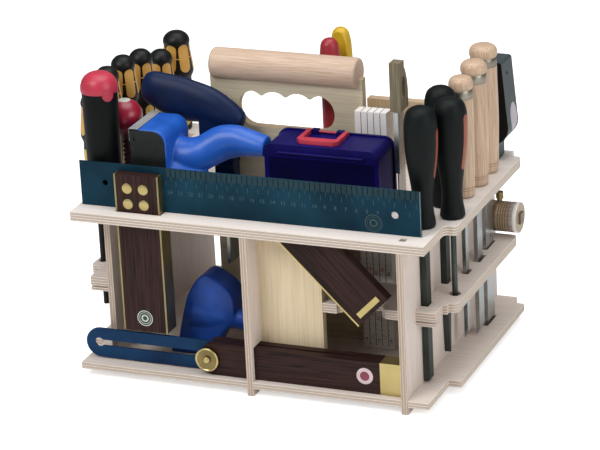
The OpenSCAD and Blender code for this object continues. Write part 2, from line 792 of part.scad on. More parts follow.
// front outline of the case between two heights, grown by g, with round shoulders
module case_face_2d(low, high, g = 0) {
  x0 = case_x[0] - g;
  x1 = case_x[1] + g;
  top = rest_z + case_h + g;
  r = case_r + g;
  intersection() {
    union() {
      translate([x0, rest_z]) square([x1 - x0, top - r - rest_z]);
      translate([x0 + r, rest_z]) square([x1 - x0 - 2 * r, top - rest_z]);
      for (x = [x0 + r, x1 - r]) translate([x, top - r]) circle(r);
    }
    translate([x0 - 1, low]) square([x1 - x0 + 2, high - low]);
  }
}

module case_base() {
  top = rest_z + case_h - case_lid_h - 0.3;
  w = case_wall;
  color("#1a1f5e") difference() {
    union() {
      in_xz(case_y[0] + 0.8, case_y[1] - 1) case_face_2d(rest_z, top);
      // proud rim round the back, and a lip along the front
      in_xz(case_y[1] - 3.4, case_y[1] - 0.4) case_face_2d(rest_z, top, case_rim);
      in_xz(case_y[0], case_y[0] + 2) case_face_2d(top - 5, top, -0.6);
    }
    translate([0, 0, rest_z + w]) linear_extrude(case_h)
      rounded_box_2d(case_x[0] + w, case_x[1] - w, case_y[0] + 0.8 + w, case_y[1] - 1 - w, 3);
  }
}

module case_lid() {
  low = rest_z + case_h - case_lid_h;
  top = rest_z + case_h;
  color("#232a74") difference() {
    union() {
      in_xz(case_y[0], case_y[1] - 1) case_face_2d(low, top);
      in_xz(case_y[1] - 3.4, case_y[1] - 0.4) case_face_2d(low, top + case_rim, case_rim);
      // ears for the bail
      for (x = [bail_x + 5, bail_x + bail_w - 11])
        span([x, bail_pivot_y - 3, top - 1], [x + 6, bail_pivot_y + 3, bail_pivot_z + 2.2]);
      // round bead of the film hinge, along the front
      translate([case_x[0] + 14, case_hinge[0], case_hinge[1]]) rotate([0, 90, 0])
        cylinder(r = 1, h = case_x[1] - case_x[0] - 28);
      span([case_x[0] + 14, case_hinge[0], low], [case_x[1] - 14, case_y[0] + 1, low + 0.85]);
    }
    translate([0, 0, low - 1]) linear_extrude(case_lid_h - 1)
      rounded_box_2d(case_x[0] + 5, case_x[1] - 5, case_y[0] + 2.4, case_y[1] - 3.4, 3);
    // front edge eased off
    translate([-plate_w, case_y[0], top]) rotate([45, 0, 0]) cube([2 * plate_w, 2, 2], center = true);
    translate([0, bail_pivot_y, bail_pivot_z]) rotate([0, 90, 0]) cylinder(d = bail_pin_d + 0.1, h = 200);
  }
}

module case_bail() {
  arm = 4.4;
  r = bail_t / 2;
  color("#d8414d") {
    difference() {
      span([bail_x, bail_pivot_y - bail_d, bail_pivot_z - r],
           [bail_x + bail_w, bail_pivot_y, bail_pivot_z + r]);
      span([bail_x + arm, bail_pivot_y - bail_d + 9, bail_pivot_z - bail_t],
           [bail_x + bail_w - arm, bail_pivot_y + 1, bail_pivot_z + bail_t]);
      // cut corners at the front of the grip
      for (x = [bail_x, bail_x + bail_w]) translate([x, bail_pivot_y - bail_d, 0]) rotate(45)
        cube([6, 6, 800], center = true);
    }
    for (x = [bail_x, bail_x + bail_w - arm]) translate([x, bail_pivot_y, bail_pivot_z])
      rotate([0, 90, 0]) cylinder(r = r, h = arm);
    translate([bail_x + 1, bail_pivot_y, bail_pivot_z]) rotate([0, 90, 0])
      cylinder(d = bail_pin_d, h = bail_w - 2);
  }
}

// ---------- folding rule and small saw ----------

module rule_leaves() {
  color("#efecf0") {
    for (i = [0 : rule_leaves_n - 1]) {
      x = rule_x + i * 6.1;
      span([x, rule_y[0], base_top + seat_gap], [x + rule_leaf, rule_y[1], rule_top]);
    }
    // joint rivet through all leaves
    translate([rule_x, (rule_y[0] + rule_y[1]) / 2, rule_top - 9]) rotate([0, 90, 0])
      cylinder(d = 6, h = 6.1 * (rule_leaves_n - 1) + rule_leaf);
  }
}

module saw_tote() {
  y = saw_y[0] - 1;
  color("#7d6a48") difference() {
    translate([saw_x - 5, 0, 0]) rotate([90, 0, 90]) linear_extrude(10) difference() {
      union() {
        translate([y, tote_low]) square([12, tote_h]);
        translate([y, tote_low]) square([20, 16]);
        intersection() {
          translate([y, tote_low + 13]) scale([1, (tote_h - 13) / 20]) circle(20);
          translate([y, tote_low]) square([22, tote_h]);
        }
      }
      // finger hole
      translate([y + 9.4, tote_low + 21]) scale([1, 2.3]) circle(4.4);
    }
    span([saw_x - 0.6, saw_y[0], tote_low - 1], [saw_x + 0.6, saw_y[1], tote_low + 7]);
  }
}

module saw_blade() {
  teeth = 34;
  tooth_pitch = 4.1;
  low = 96;
  color(steel) {
    translate([saw_x - 0.6, 0, 0]) rotate([90, 0, 90]) linear_extrude(1.2) difference() {
      translate([saw_y[0], low]) square([saw_y[1] - saw_y[0], tote_low + 7 - low]);
      for (i = [0 : teeth - 1]) translate([saw_y[1], low + 3 + i * tooth_pitch]) rotate(45)
        square(1.9, center = true);
    }
  }
  // folded brass back above the deck
  color(brass) difference() {
    span([saw_x - 2.2, saw_y[0] - 1.6, 196], [saw_x + 2.2, saw_y[0] + 4, tote_low - 0.3]);
    span([saw_x - 0.6, saw_y[0], 190], [saw_x + 0.6, saw_y[0] + 8, tote_low]);
  }
}

// ---------- files, right front ----------

// soft grip: flared foot, waist and a full round head
module file_grip(p, h, r, shank) {
  color(rubber) at_xy(p, rest_z) difference() {
    turned([[0.66 * r, 0], [0.72 * r, 1.2], [0.72 * r, 5], [0.65 * r, 12], [0.61 * r, 21],
            [0.65 * r, 33], [0.76 * r, 46], [0.9 * r, 61], [0.98 * r, 74], [r, 84],
            [r, h - 19], [0.95 * r, h - 11], [0.79 * r, h - 4.6], [0.45 * r, h - 1], [0, h]]);
    translate([0, 0, -1]) shank_hole(shank, 25);
  }
}

module shank_hole(s, h) {
  if (len(s) == 2) translate([-s[0] / 2, -s[1] / 2, 0]) cube([s[0], s[1], h]);
  else cylinder(d = s[0], h = h);
}

module file_a_grip() { file_grip(file_a, 112.1, 15, [5.6, 11]); }
module file_b_grip() { file_grip(file_b, 113, 14.7, [5.6, 10]); }
module file_c_grip() { file_grip(file_c, 112, 15.5, [5.2]); }

module file_a_blade() {
  low = base_top + 1;
  color("#3f4a4d") at_xy(file_a, 0) difference() {
    translate([-2.8, -5.5, low]) cube([5.6, 11, rest_z + 23 - low]);
    // chamfered tip
    translate([0, -5.5, low]) rotate([45, 0, 0]) cube([20, 3, 3], center = true);
    translate([2.8, 0, low]) rotate([0, 45, 0]) cube([3, 20, 3], center = true);
  }
}

module file_b_blade() {
  low = base_top + 6;
  color("#454f4c") at_xy(file_b, 0) {
    translate([-2.8, -5, shelf_low]) cube([5.6, 10, rest_z + 23 - shelf_low]);
    // taper to a blunt point below the shelf
    intersection() {
      translate([-2.8, -5, low]) cube([5.6, 10, shelf_low - low + 1]);
      translate([-2.8, 0, 0]) rotate([90, 0, 90]) linear_extrude(5.6)
        polygon([[-5, shelf_low + 1], [5, shelf_low + 1], [1, low], [-1, low]]);
    }
  }
}

module file_c_blade() {
  color("#6d6a62") at_xy(file_c, 0) {
    translate([0, 0, shelf_low + 1]) cylinder(r = 2.6, h = rest_z + 23 - shelf_low);
    translate([0, 0, shelf_low - 5]) cylinder(r1 = 1.8, r2 = 2.6, h = 6.01, $fn = 48);
  }
}

// ---------- chisels, right side ----------

module chisel_handle(i) {
  h = chisel_len[i];
  r = chisel_r[i];
  color(beech) at_xy(chisel_xy[i], rest_z) difference() {
    union() {
      turned([[0.76 * r, 0], [0.87 * r, 1.2], [0.9 * r, 5], [0.95 * r, 0.2 * h],
              [r, 0.4 * h], [0.99 * r, 0.58 * h], [0.95 * r, h - 28], [0.95 * r, h - 20.5]]);
      // steel hoop
      translate([0, 0, h - 21]) cylinder(r = 0.92 * r, h = 10.5);
      // mushroomed striking end
      turned([[0.88 * r, h - 11.5], [0.98 * r, h - 10.4], [r, h - 8], [0.94 * r, h - 4],
              [0.72 * r, h - 1.2], [0.4 * r, h - 0.3], [0, h]]);
    }
    translate([-chisel_blade_t / 2, -3.5, -1]) cube([chisel_blade_t, 7, 29]);
    // two fine grooves near the foot
    for (z = [7.5, 11]) translate([0, 0, z]) rotate_extrude()
      translate([0.92 * r + 0.6, 0]) circle(0.8, $fn = 16);
  }
}

module chisel_blade(i) {
  w = chisel_blade_w[i];
  t = chisel_blade_t;
  tip = chisel_tip[i];
  color("#c6ccd0") at_xy(chisel_xy[i], 0) difference() {
    union() {
      translate([-t / 2, -w / 2, tip]) cube([t, w, deck_low - tip - 6]);
      translate([-t / 2, -3.5, deck_low - 7]) cube([t, 7, rest_z + 28 - deck_low + 7]);
    }
    // one-sided bevel at the cutting end
    translate([t / 2, 0, tip]) rotate([0, 25, 0]) cube([t * 1.4, 2 * w, 16], center = true);
  }
}

module chisel_1_handle() { chisel_handle(0); }
module chisel_2_handle() { chisel_handle(1); }
module chisel_3_handle() { chisel_handle(2); }
module chisel_1_blade() { chisel_blade(0); }
module chisel_2_blade() { chisel_blade(1); }
module chisel_3_blade() { chisel_blade(2); }

// knife with a square moulded handle that widens downwards over a narrow neck
module block_knife() {
  h = 96.2;
  x0 = 157;
  y0 = block_y[0];
  y1 = block_y[1];
  front = concat([[x0, 0], [164.4, 0]],
                 smooth([[164.4, 11], [165.4, 15.6], [170.8, 20], [175.5, 27.5], [176.2, 33]], 3),
                 [[174.7, 49], [170.8, h - 2], [169.2, h], [x0, h]]);
  side = concat([[y0, 0], [y0, h], [y1 - 1.6, h], [y1, h - 2], [y1, 27]],
                smooth([[y1 - 1, 22], [y1 - 5.4, 17.5], [y1 - 7.5, 11]], 3), [[y1 - 7.5, 0]]);
  color("#22282a") {
    difference() {
      intersection() {
        translate([0, 0, rest_z]) in_xz(y0, y1) polygon(front);
        translate([x0, 0, rest_z]) rotate([90, 0, 90]) linear_extrude(30) polygon(side);
      }
      translate([x0 - 1, y0 + 13, rest_z + h - 13]) rotate([0, 90, 0]) cylinder(r = 1.6, h = 30);
    }
    span([knife_blade_x[0], knife_blade_y, 148],
         [knife_blade_x[1], knife_blade_y + 2.8, rest_z + 1]);
  }
}

// ---------- marking gauge at the right rear ----------

module gauge_head() {
  r = gauge_r;
  s = gauge_stem_w / 2 + 0.3;
  color("#b08a56") difference() {
    translate([gauge_head_x[0], gauge_y, gauge_z]) rotate([0, 90, 0]) difference() {
      cylinder(r = r, h = gauge_head_x[1] - gauge_head_x[0]);
      // turned grooves between the bands
      for (x = [7, 22.5]) translate([0, 0, x]) difference() {
        cylinder(r = r + 1, h = 0.9);
        translate([0, 0, -1]) cylinder(r = r - 0.5, h = 3);
      }
    }
    span([gauge_head_x[0] - 1, gauge_y - s, gauge_z - s], [gauge_head_x[1] + 1, gauge_y + s, gauge_z + s]);
    translate([gauge_screw_x, gauge_y, gauge_z]) cylinder(d = 4.15, h = 30);
  }
}

module gauge_stem() {
  s = gauge_stem_w / 2;
  color("#8a6038") {
    span([36, gauge_y - s, gauge_z - s], [gauge_head_x[1] + 2, gauge_y + s, gauge_z + s]);
    // marking pin
    translate([44, gauge_y - s - gauge_pin_out, gauge_z]) rotate([-90, 0, 0])
      cylinder(d = 2, h = gauge_pin_out + 1);
  }
}

module gauge_screw() {
  color(brass) translate([gauge_screw_x, gauge_y, gauge_z]) {
    translate([0, 0, gauge_stem_w / 2 + 0.3]) cylinder(d = 4, h = gauge_r);
    translate([0, 0, gauge_r + 3.8]) cylinder(r = 3.6, h = 6.2);
    translate([0, 0, gauge_r + 1.6]) cylinder(r = 2.6, h = 3);
  }
}

// ---------- screwdrivers, left side ----------

module driver(i) {
  d = driver_at[i];
  h = d[2];
  s = d[3];
  color("#1f2321") at_xy([d[0], d[1]], rest_z) {
    // lower grip, waist, bulging upper grip and domed cap
    turned([[6 * s, 0], [8.8 * s, 0.8], [9.4 * s, 5], [10.6 * s, 16], [11.4 * s, h - 64],
            [11.4 * s, h - 55], [11 * s, h - 50], [11.2 * s, h - 46.5], [13 * s, h - 42],
            [13.3 * s, h - 39], [13 * s, h - 34], [12 * s, h - 25], [11 * s, h - 16],
            [10.8 * s, h - 13], [11.3 * s, h - 10.4], [11 * s, h - 7.6], [9.1 * s, h - 4],
            [5.4 * s, h - 1], [0, h]]);
    translate([0, 0, -118]) cylinder(r = driver_shank_r * s, h = 119);
  }
}

module driver_1() { driver(0); }
module driver_2() { driver(1); }
module driver_3() { driver(2); }
module driver_4() { driver(3); }
module driver_5() { driver(4); }
module driver_6() { driver(5); }

// thick ratchet handle with a turning end cap, and its short tip in a blind seat
module ratchet_body() {
  color("#1c211f") at_xy(ratchet_at, rest_z) {
    turned([[13.6, 0], [15, 1.5], [15.4, 8], [15.8, 30], [16.2, 60], [16.5, ratchet_h - 8],
            [16.5, ratchet_h - 0.4]]);
    translate([0, 0, 0.4 - awl_seat]) cylinder(r = 3.4, h = awl_seat);
    translate([0, 0, ratchet_h - 1]) cylinder(r = 6, h = 7);
  }
}

module ratchet_cap() {
  color("#d03a52") at_xy(ratchet_at, rest_z) difference() {
    union() {
      turned([[17.2, ratchet_h], [17.4, ratchet_h + 2], [16.8, ratchet_h + 7],
              [14.2, ratchet_h + 12.6], [9.4, ratchet_h + 16.4], [4, ratchet_h + 17.8],
              [0, ratchet_h + 18]]);
      // round thumb tab that hangs over the body's edge
      intersection() {
        difference() {
          translate([0, 0, ratchet_h - 7]) cylinder(r = 17.9, h = 14);
          translate([0, 0, ratchet_h - 8]) cylinder(r = 16.9, h = 9);
        }
        translate([0, 0, ratchet_h - 0.5]) rotate([0, 90, -38]) translate([0, 0, 10])
          cylinder(r = 5.6, h = 10);
      }
    }
    translate([0, 0, ratchet_h - 1]) cylinder(r = 6.1, h = 7.4);
  }
}

// awl with a red ball head and a ribbed neck
module ball_awl() {
  color("#c42344") at_xy(awl_at, rest_z) {
    difference() {
      translate([0, 0, 68]) sphere(r = 16.4);
      translate([0, 0, 68 + 15.2]) cylinder(r = 12, h = 5);
    }
    cylinder(r = 3, h = 56);
    for (i = [0 : 9]) translate([0, 0, 2 + i * 4.4]) cylinder(r = 3.8, h = 2.4);
    translate([0, 0, 0.4 - awl_seat]) cylinder(r = 3, h = awl_seat);
    translate([0, 0, 46]) cylinder(r1 = 3.8, r2 = 8, h = 8, $fn = 48);
  }
}

// two handles that stand behind the handle board
module rear_red() {
  color("#bb2c40") at_xy(rear_red_at, rest_z) {
    turned([[7.4, 0], [9, 2], [9.2, 40], [9, 100], [8.8, 124], [7.6, 129.6], [4, 133.2], [0, 134]]);
    translate([0, 0, -90]) cylinder(r = 3, h = 91);
  }
}

module rear_yellow() {
  color("#c99a2c") at_xy(rear_yellow_at, rest_z) {
    intersection() {
      turned([[9.4, 0], [11.4, 2], [11.2, 60], [10.2, 110], [8.6, 128], [6.6, 134], [3.4, 136.6],
              [0, 137]]);
      translate([-20, -6.5, -1]) cube([40, 13, 140]);
    }
    translate([0, 0, -90]) cylinder(r = 3, h = 91);
  }
}

deck();
base_plate();
upright_left();
upright_middle();
upright_right();
shelf_left();
shelf_right();
shelf_inner();
handle_board();
bay_panel();
handle_grip();
rear_rail();
square_stock();
square_brass();
square_blade();
mitre_stock();
mitre_brass();
mitre_blade();
bevel_stock();
bevel_cap();
bevel_blade();
bevel_screw();
shaver_body();
shaver_plate();
bay_plane();
scraper_grip();
scraper_blade();
case_base();
case_lid();
case_bail();
rule_leaves();
saw_tote();
saw_blade();
file_a_grip();
file_a_blade();
file_b_grip();
file_b_blade();
file_c_grip();
file_c_blade();
chisel_1_handle();
chisel_1_blade();
chisel_2_handle();
chisel_2_blade();
chisel_3_handle();
chisel_3_blade();
block_knife();
gauge_head();
gauge_stem();
gauge_screw();
driver_1();
driver_2();
driver_3();
driver_4();
driver_5();
driver_6();
ratchet_body();
ratchet_cap();
ball_awl();
rear_red();
rear_yellow();
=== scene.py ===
"""Looks for the tool storage caddy: its materials, fine pieces, floor, light and camera."""

import math

import bpy
from mathutils import Matrix, Vector
from mathutils.bvhtree import BVHTree


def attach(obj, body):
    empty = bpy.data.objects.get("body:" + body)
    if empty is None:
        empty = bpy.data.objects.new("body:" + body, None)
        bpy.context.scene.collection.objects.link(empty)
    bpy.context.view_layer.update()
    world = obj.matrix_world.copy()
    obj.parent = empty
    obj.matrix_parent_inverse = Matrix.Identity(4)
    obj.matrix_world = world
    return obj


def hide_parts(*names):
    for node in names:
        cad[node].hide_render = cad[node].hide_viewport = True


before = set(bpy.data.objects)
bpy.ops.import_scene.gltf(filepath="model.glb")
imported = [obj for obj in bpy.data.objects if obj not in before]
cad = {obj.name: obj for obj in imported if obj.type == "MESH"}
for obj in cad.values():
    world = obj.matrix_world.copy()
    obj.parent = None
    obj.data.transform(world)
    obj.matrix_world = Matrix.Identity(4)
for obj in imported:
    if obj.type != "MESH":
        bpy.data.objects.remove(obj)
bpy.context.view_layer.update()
MM = 0.001


# ------------------------------------ colour and node helpers

SHARE, FIRST, SECOND = 0, 6, 7  # sockets of a Mix node that blends two colours


def linear(code):
    """A '#rrggbb' sRGB colour as linear RGBA."""
    steps = [int(code[i : i + 2], 16) / 255 for i in (1, 3, 5)]
    return (*[s / 12.92 if s <= 0.04045 else ((s + 0.055) / 1.055) ** 2.4 for s in steps], 1)


def add(tree, kind, sockets=None, **settings):
    """A node with its settings. A socket gets a value, a hex colour, or a link from a socket."""
    family = "" if kind.startswith("NodeGroup") else tree.bl_idname.removesuffix("Tree")
    node = tree.nodes.new(family + kind)
    for key, value in settings.items():
        setattr(node, key, value)
    for key, value in (sockets or {}).items():
        if isinstance(value, bpy.types.Node):
            value = next(out for out in value.outputs if out.enabled)
        if isinstance(value, bpy.types.NodeSocket):
            tree.links.new(value, node.inputs[key])
        else:
            is_colour = isinstance(value, str) and value.startswith("#")
            node.inputs[key].default_value = linear(value) if is_colour else value
    return node


def maths(tree, operation, *values):
    """A Math node on one or two values."""
    return add(tree, "Math", dict(enumerate(values)), operation=operation)


def blend(tree, share, first, second):
    """A Mix node on two colours."""
    sockets = {SHARE: share, FIRST: first, SECOND: second}
    return add(tree, "Mix", sockets, data_type="RGBA")


def spread_out(tree, value, low, high, top=1.0):
    """What lies between two values of a pattern, spread over nought to the top."""
    sockets = {"Value": value, "From Min": low, "From Max": high, "To Max": top}
    return add(tree, "MapRange", sockets)


def coloured(name, **shader):
    """A material with plain values set on its shader, with its tree and its shader node."""
    material = bpy.data.materials.new(name)
    material.use_nodes = True
    tree = material.node_tree
    surface = tree.nodes["Principled BSDF"]
    for key, value in shader.items():
        surface.inputs[key.replace("_", " ")].default_value = value
    return material, tree, surface


def lengthwise(along, length, width):
    """A pattern size with its long side along one axis, in millimetres."""
    return [length if a == along else width for a in "xyz"]


def speckle(tree, size_mm, detail=3.0, roughness=0.55, distortion=0.0, lean=0.0):
    """A noise whose lumps have a real size along each axis, in millimetres, turned about Y."""
    place = add(tree, "TexCoord").outputs["Object"]
    sizes = {"Vector": place, "Scale": [s * MM for s in size_mm], "Rotation": (0, lean, 0)}
    scaled = add(tree, "Mapping", sizes, vector_type="TEXTURE")
    look = {"Scale": 1.0, "Detail": detail, "Roughness": roughness, "Distortion": distortion}
    return add(tree, "TexNoise", {"Vector": scaled, **look})


def finish_with(tree, surface, colour, relief, depth_mm, gloss=None, rough=0.4, spread=0.08):
    """Links a colour, a relief of a real depth, and a gloss that follows its own pattern."""
    base = next(out for out in colour.outputs if out.enabled)
    tree.links.new(base, surface.inputs["Base Color"])
    bump = add(tree, "Bump", {"Height": relief, "Distance": depth_mm * MM, "Strength": 1.0})
    tree.links.new(bump.outputs[0], surface.inputs["Normal"])
    if gloss:
        limits = {"To Min": rough - spread, "To Max": rough + spread}
        varied = add(tree, "MapRange", {"Value": gloss, "From Min": 0.3, "From Max": 0.7, **limits})
        tree.links.new(varied.outputs[0], surface.inputs["Roughness"])


# ------------------------------------ kinds of surface

GLUE_WIDTH = 0.22  # how much of a ply's thickness its dark glue line takes
GLUE_SHARE, ODD_SHARE = 0.7, 0.5  # how strongly glue lines and every second ply are darkened
FACING = 0.7  # a normal counts as facing along an axis from 45 degrees on
TURNED_FORWARD = -0.6  # and as facing the front when it points this far along Y


def plywood(name, thin, low_mm, ply_mm, face, dark, edge="#cdb596", edge_dark="#8d6c4c",
            along="x"):
    """Bare plywood: straight grain on its faces, and on its edges the plies with dark glue lines.

    thin is the axis across the sheet, and low_mm is where the first ply starts on it.
    """
    material, tree, surface = coloured(name, Roughness=0.6, IOR=1.45)
    # birch grain is under half a millimetre wide: drawn 1.3 mm wide so that it shows
    fine = speckle(tree, lengthwise(along, 60, 1.3), detail=4)
    flame = speckle(tree, lengthwise(along, 150, 12), detail=2, distortion=0.6)
    grain = blend(tree, spread_out(tree, fine, 0.38, 0.72), face, dark)
    grain = blend(tree, spread_out(tree, flame, 0.4, 0.7, 0.4), grain, dark)

    place = add(tree, "TexCoord")
    axis = "xyz".index(thin)
    depth = add(tree, "SeparateXYZ", {0: place.outputs["Object"]}).outputs[axis]
    one_ply = {"From Min": low_mm * MM, "From Max": (low_mm + ply_mm) * MM}
    layer = add(tree, "MapRange", {"Value": depth, **one_ply}, clamp=False)
    within = maths(tree, "FRACT", layer)
    pair = maths(tree, "FRACT", maths(tree, "MULTIPLY", layer, 0.5))
    odd = maths(tree, "MULTIPLY", maths(tree, "GREATER_THAN", pair, 0.5), ODD_SHARE)
    glue = maths(tree, "LESS_THAN", within, GLUE_WIDTH)
    glue = maths(tree, "MULTIPLY", glue, GLUE_SHARE)
    # the open pores of a sawn edge, about a tenth of a millimetre: drawn 0.7 mm so that they show
    pores = speckle(tree, (0.7, 0.7, 0.7), detail=2)
    ply = blend(tree, spread_out(tree, pores, 0.3, 0.7), edge, face)
    ply = blend(tree, odd, ply, edge_dark)
    ply = blend(tree, glue, ply, edge_dark)

    tilt = add(tree, "SeparateXYZ", {0: place.outputs["Normal"]}).outputs[axis]
    on_face = maths(tree, "GREATER_THAN", maths(tree, "ABSOLUTE", tilt), FACING)
    finish_with(tree, surface, blend(tree, on_face, ply, grain), fine, 0.05)
    return material


def streaked(name, light, dark, along="z", streak_mm=2.2, length_mm=45, rough=0.5, coat=0.0,
             sheen=0.4, lean=0.0):
    """Planed and finished wood: streaks of two colours and small pores along one axis."""
    fixed = {"IOR": 1.45, "Coat_Weight": coat, "Coat_Roughness": 0.25, "Specular_IOR_Level": sheen}
    material, tree, surface = coloured(name, **fixed)
    size = lengthwise(along, length_mm, streak_mm)
    streak = speckle(tree, size, detail=5, roughness=0.6, distortion=0.4, lean=lean)
    # pores are a tenth of a millimetre wide: drawn a quarter of a streak wide so that they show
    pores = speckle(tree, [s / 4 for s in size], detail=2, lean=lean)
    colour = blend(tree, spread_out(tree, streak, 0.38, 0.66), light, dark)
    colour = blend(tree, spread_out(tree, pores, 0.55, 0.75, 0.35), colour, dark)
    finish_with(tree, surface, colour, pores, 0.04, gloss=pores, rough=rough, spread=0.05)
    return material


def machined(name, light, dark, rough=0.3, along="x", brush_mm=0.4, metallic=1.0, sheen=0.5):
    """Rolled or machined metal: brush lines along one axis in its gloss, and a drift of colour."""
    material, tree, surface = coloured(name, Metallic=metallic, Specular_IOR_Level=sheen)
    # brush lines are a few hundredths of a millimetre wide: drawn coarser so that they show
    lines = speckle(tree, lengthwise(along, 30, brush_mm), detail=3)
    drift = speckle(tree, (40, 40, 40), detail=2)
    colour = blend(tree, spread_out(tree, drift, 0.3, 0.7), light, dark)
    finish_with(tree, surface, colour, lines, 0.01, gloss=lines, rough=rough)
    return material


def moulded(name, main, shade, rough=0.35, coat=0.0, sheen=0.5):
    """Moulded or painted: an even colour with a slow drift, and a fine texture in its gloss."""
    fixed = {"IOR": 1.5, "Coat_Weight": coat, "Coat_Roughness": 0.15, "Specular_IOR_Level": sheen}
    material, tree, surface = coloured(name, **fixed)
    drift = speckle(tree, (30, 30, 30), detail=2)
    # a mould's texture is a tenth of a millimetre: drawn 0.6 mm so that it shows
    texture = speckle(tree, (0.6, 0.6, 0.6), detail=3)
    colour = blend(tree, spread_out(tree, drift, 0.3, 0.72), main, shade)
    finish_with(tree, surface, colour, texture, 0.02, gloss=texture, rough=rough, spread=0.06)
    return material


def painted_shade_forward(name, front, side, rough=0.45):
    """One plastic with painted shade: a darker colour where it faces forward, and its own colour
    everywhere else.
    """
    material, tree, surface = coloured(name, IOR=1.5, Specular_IOR_Level=0.3)
    texture = speckle(tree, (0.6, 0.6, 0.6), detail=3)
    facing = add(tree, "SeparateXYZ", {0: add(tree, "TexCoord").outputs["Normal"]})
    forward = maths(tree, "LESS_THAN", facing.outputs["Y"], TURNED_FORWARD)
    colour = blend(tree, forward, side, front)
    finish_with(tree, surface, colour, texture, 0.02, gloss=texture, rough=rough)
    return material


# ------------------------------------ woods

# birch plywood, sanded and left bare: matt warm white faces with a hint of grain, and edges
# striped tan and brown; each piece has its own plies, and shaded ones are a tone greyer
deck_ply = plywood("sanded_birch_plywood_deck", "z", 154.5, 9 / 7, "#eee6e0", "#e2d7cf",
                   edge="#d6c6b2", edge_dark="#8c7461")
base_ply = plywood("sanded_birch_plywood_base", "z", 7.5, 6.5 / 5, "#e4d9d1", "#d5c8be",
                   edge="#dccdbb", edge_dark="#8f7866")
shelf_ply = plywood("sanded_birch_plywood_shelf", "z", 80, 9 / 7, "#e6dcd4", "#d8cbc1",
                    edge="#d2c2b0", edge_dark="#8a725f")
upright_ply = plywood("sanded_birch_plywood_upright", "x", -150.9, 1.2, "#dccfc6", "#ccbdb1",
                      edge="#c6b5a2", along="z")
middle_ply = plywood("sanded_birch_plywood_middle_upright", "x", -4.2, 1.2, "#dccfc6", "#ccbdb1",
                     edge="#c6b5a2", along="z")
board_ply = plywood("sanded_birch_plywood_handle_board", "y", -10, 9 / 7, "#d3c8af", "#bdb095")
panel_ply = plywood("sanded_birch_plywood_panel", "y", -103, 1.6, "#e4d2b4", "#d1bc98", along="z")
# beech dowel, sanded and bare: pink tan with short fine flecks and no shine
beech_dowel = streaked("sanded_beech_dowel", "#d2bba8", "#b6987f", along="x", streak_mm=0.7,
                       length_mm=30)
# turned beech under clear lacquer: straight tan streaks and a soft highlight down its side
beech_handle = streaked("lacquered_turned_beech", "#d0b59b", "#b09278", along="z", streak_mm=1.3,
                        length_mm=40, rough=0.42, coat=0.2)
# rosewood, planed and oiled: nearly black streaks in deep brown with a faint sheen, and its
# grain runs along each stock
ROSEWOOD = {"light": "#3c2520", "dark": "#120a08", "streak_mm": 1.6, "length_mm": 60,
            "rough": 0.5, "sheen": 0.2}
rosewood_up = streaked("oiled_rosewood_upright", along="z", **ROSEWOOD)
rosewood_leaning = streaked("oiled_rosewood_leaning", along="z", lean=math.radians(-45), **ROSEWOOD)
rosewood_long = streaked("oiled_rosewood_lengthways", along="x", **ROSEWOOD)
# stained hardwood tote under thin lacquer: olive brown, low contrast, slightly glossy
olive_tote = streaked("lacquered_olive_stained_wood", "#867c65", "#665d46", along="z", rough=0.45,
                      coat=0.1)
# turned and lacquered hardwoods of the marking gauge: glossy bands in brown, tan and grey paint
GAUGE_WOOD = {"along": "x", "streak_mm": 1.6, "length_mm": 30, "rough": 0.4}
gauge_dark = streaked("lacquered_dark_hardwood", "#75604c", "#54412f", coat=0.3, **GAUGE_WOOD)
gauge_tan = streaked("lacquered_tan_hardwood", "#b39f82", "#937e62", coat=0.3, **GAUGE_WOOD)
gauge_grey = streaked("grey_painted_hardwood", "#a39a90", "#80776e", coat=0.2, **GAUGE_WOOD)
# lines burnt into turned wood with a wire: thin, brown and matt
scribed_brown = moulded("wire_burnt_line", "#8f7254", "#7a5f44", rough=0.6)


# ------------------------------------ metals

# brass sheet, brushed along its length: pale gold with a broad soft highlight
brass = machined("brushed_brass", "#d2c188", "#b9a66c", rough=0.36)
# turned brass left to tarnish: brown gold with coarse turning marks
antique_brass = machined("tarnished_turned_brass", "#97865a", "#5f5232", rough=0.36, brush_mm=0.8)
# milled brass edging that hands have dulled: grey gold, nearly matt
dull_brass = machined("dulled_milled_brass", "#a99c72", "#8c7f58", rough=0.42, along="z")
# ground steel, chemically blued: a deep matt blue green with hardly any mirror
blued_steel = machined("blued_ground_steel", "#143d4f", "#0b2a3a", rough=0.6, metallic=0.1,
                       sheen=0.12)
# heat blued strip of the bevel: a clearer, slightly glossier blue
bevel_blue = machined("heat_blued_steel_strip", "#143c62", "#0b294a", rough=0.5, metallic=0.15,
                      sheen=0.15)
# hardened tool steel, ground bright along the blade: pale grey that mirrors its surroundings
blade_steel = machined("ground_tool_steel", "#b6babb", "#979c9e", rough=0.27, along="z")
# hardened steel cut with file teeth: dark green grey, the teeth spread every highlight
file_steel = machined("tooth_cut_file_steel", "#4f5553", "#373d3b", rough=0.5, brush_mm=0.7)
# sheet steel bent and tumbled bright: a light grey, even rim
sole_steel = machined("tumbled_sheet_steel", "#b2b3b5", "#8f9196", rough=0.5, along="y",
                      brush_mm=0.3, metallic=0.35)
# rolled steel hoop, polished once and dull with use: warm grey with one soft highlight
hoop_pewter = machined("dulled_steel_hoop", "#a09a8e", "#77726a", rough=0.42, brush_mm=0.3)
# steel plate, painted almost black and matt as painted shade and painted dark reflection on its
# front
plate_painted_dark = machined("oil_blackened_steel", "#0d1312", "#060908", rough=0.6, metallic=0.2)
# punched teeth of the same steel, painted dark grey as painted shade, a little lighter than the
# plate as a painted highlight on their points
tooth_steel = machined("worn_punched_steel", "#39403d", "#232927", rough=0.5, metallic=0.5)
# the end of a blued blade, cut and left bare: a grey line along the edge
edge_pale = moulded("sheared_steel_edge", "#76888d", "#64757b", rough=0.5)


# ------------------------------------ paint, plastic and rubber

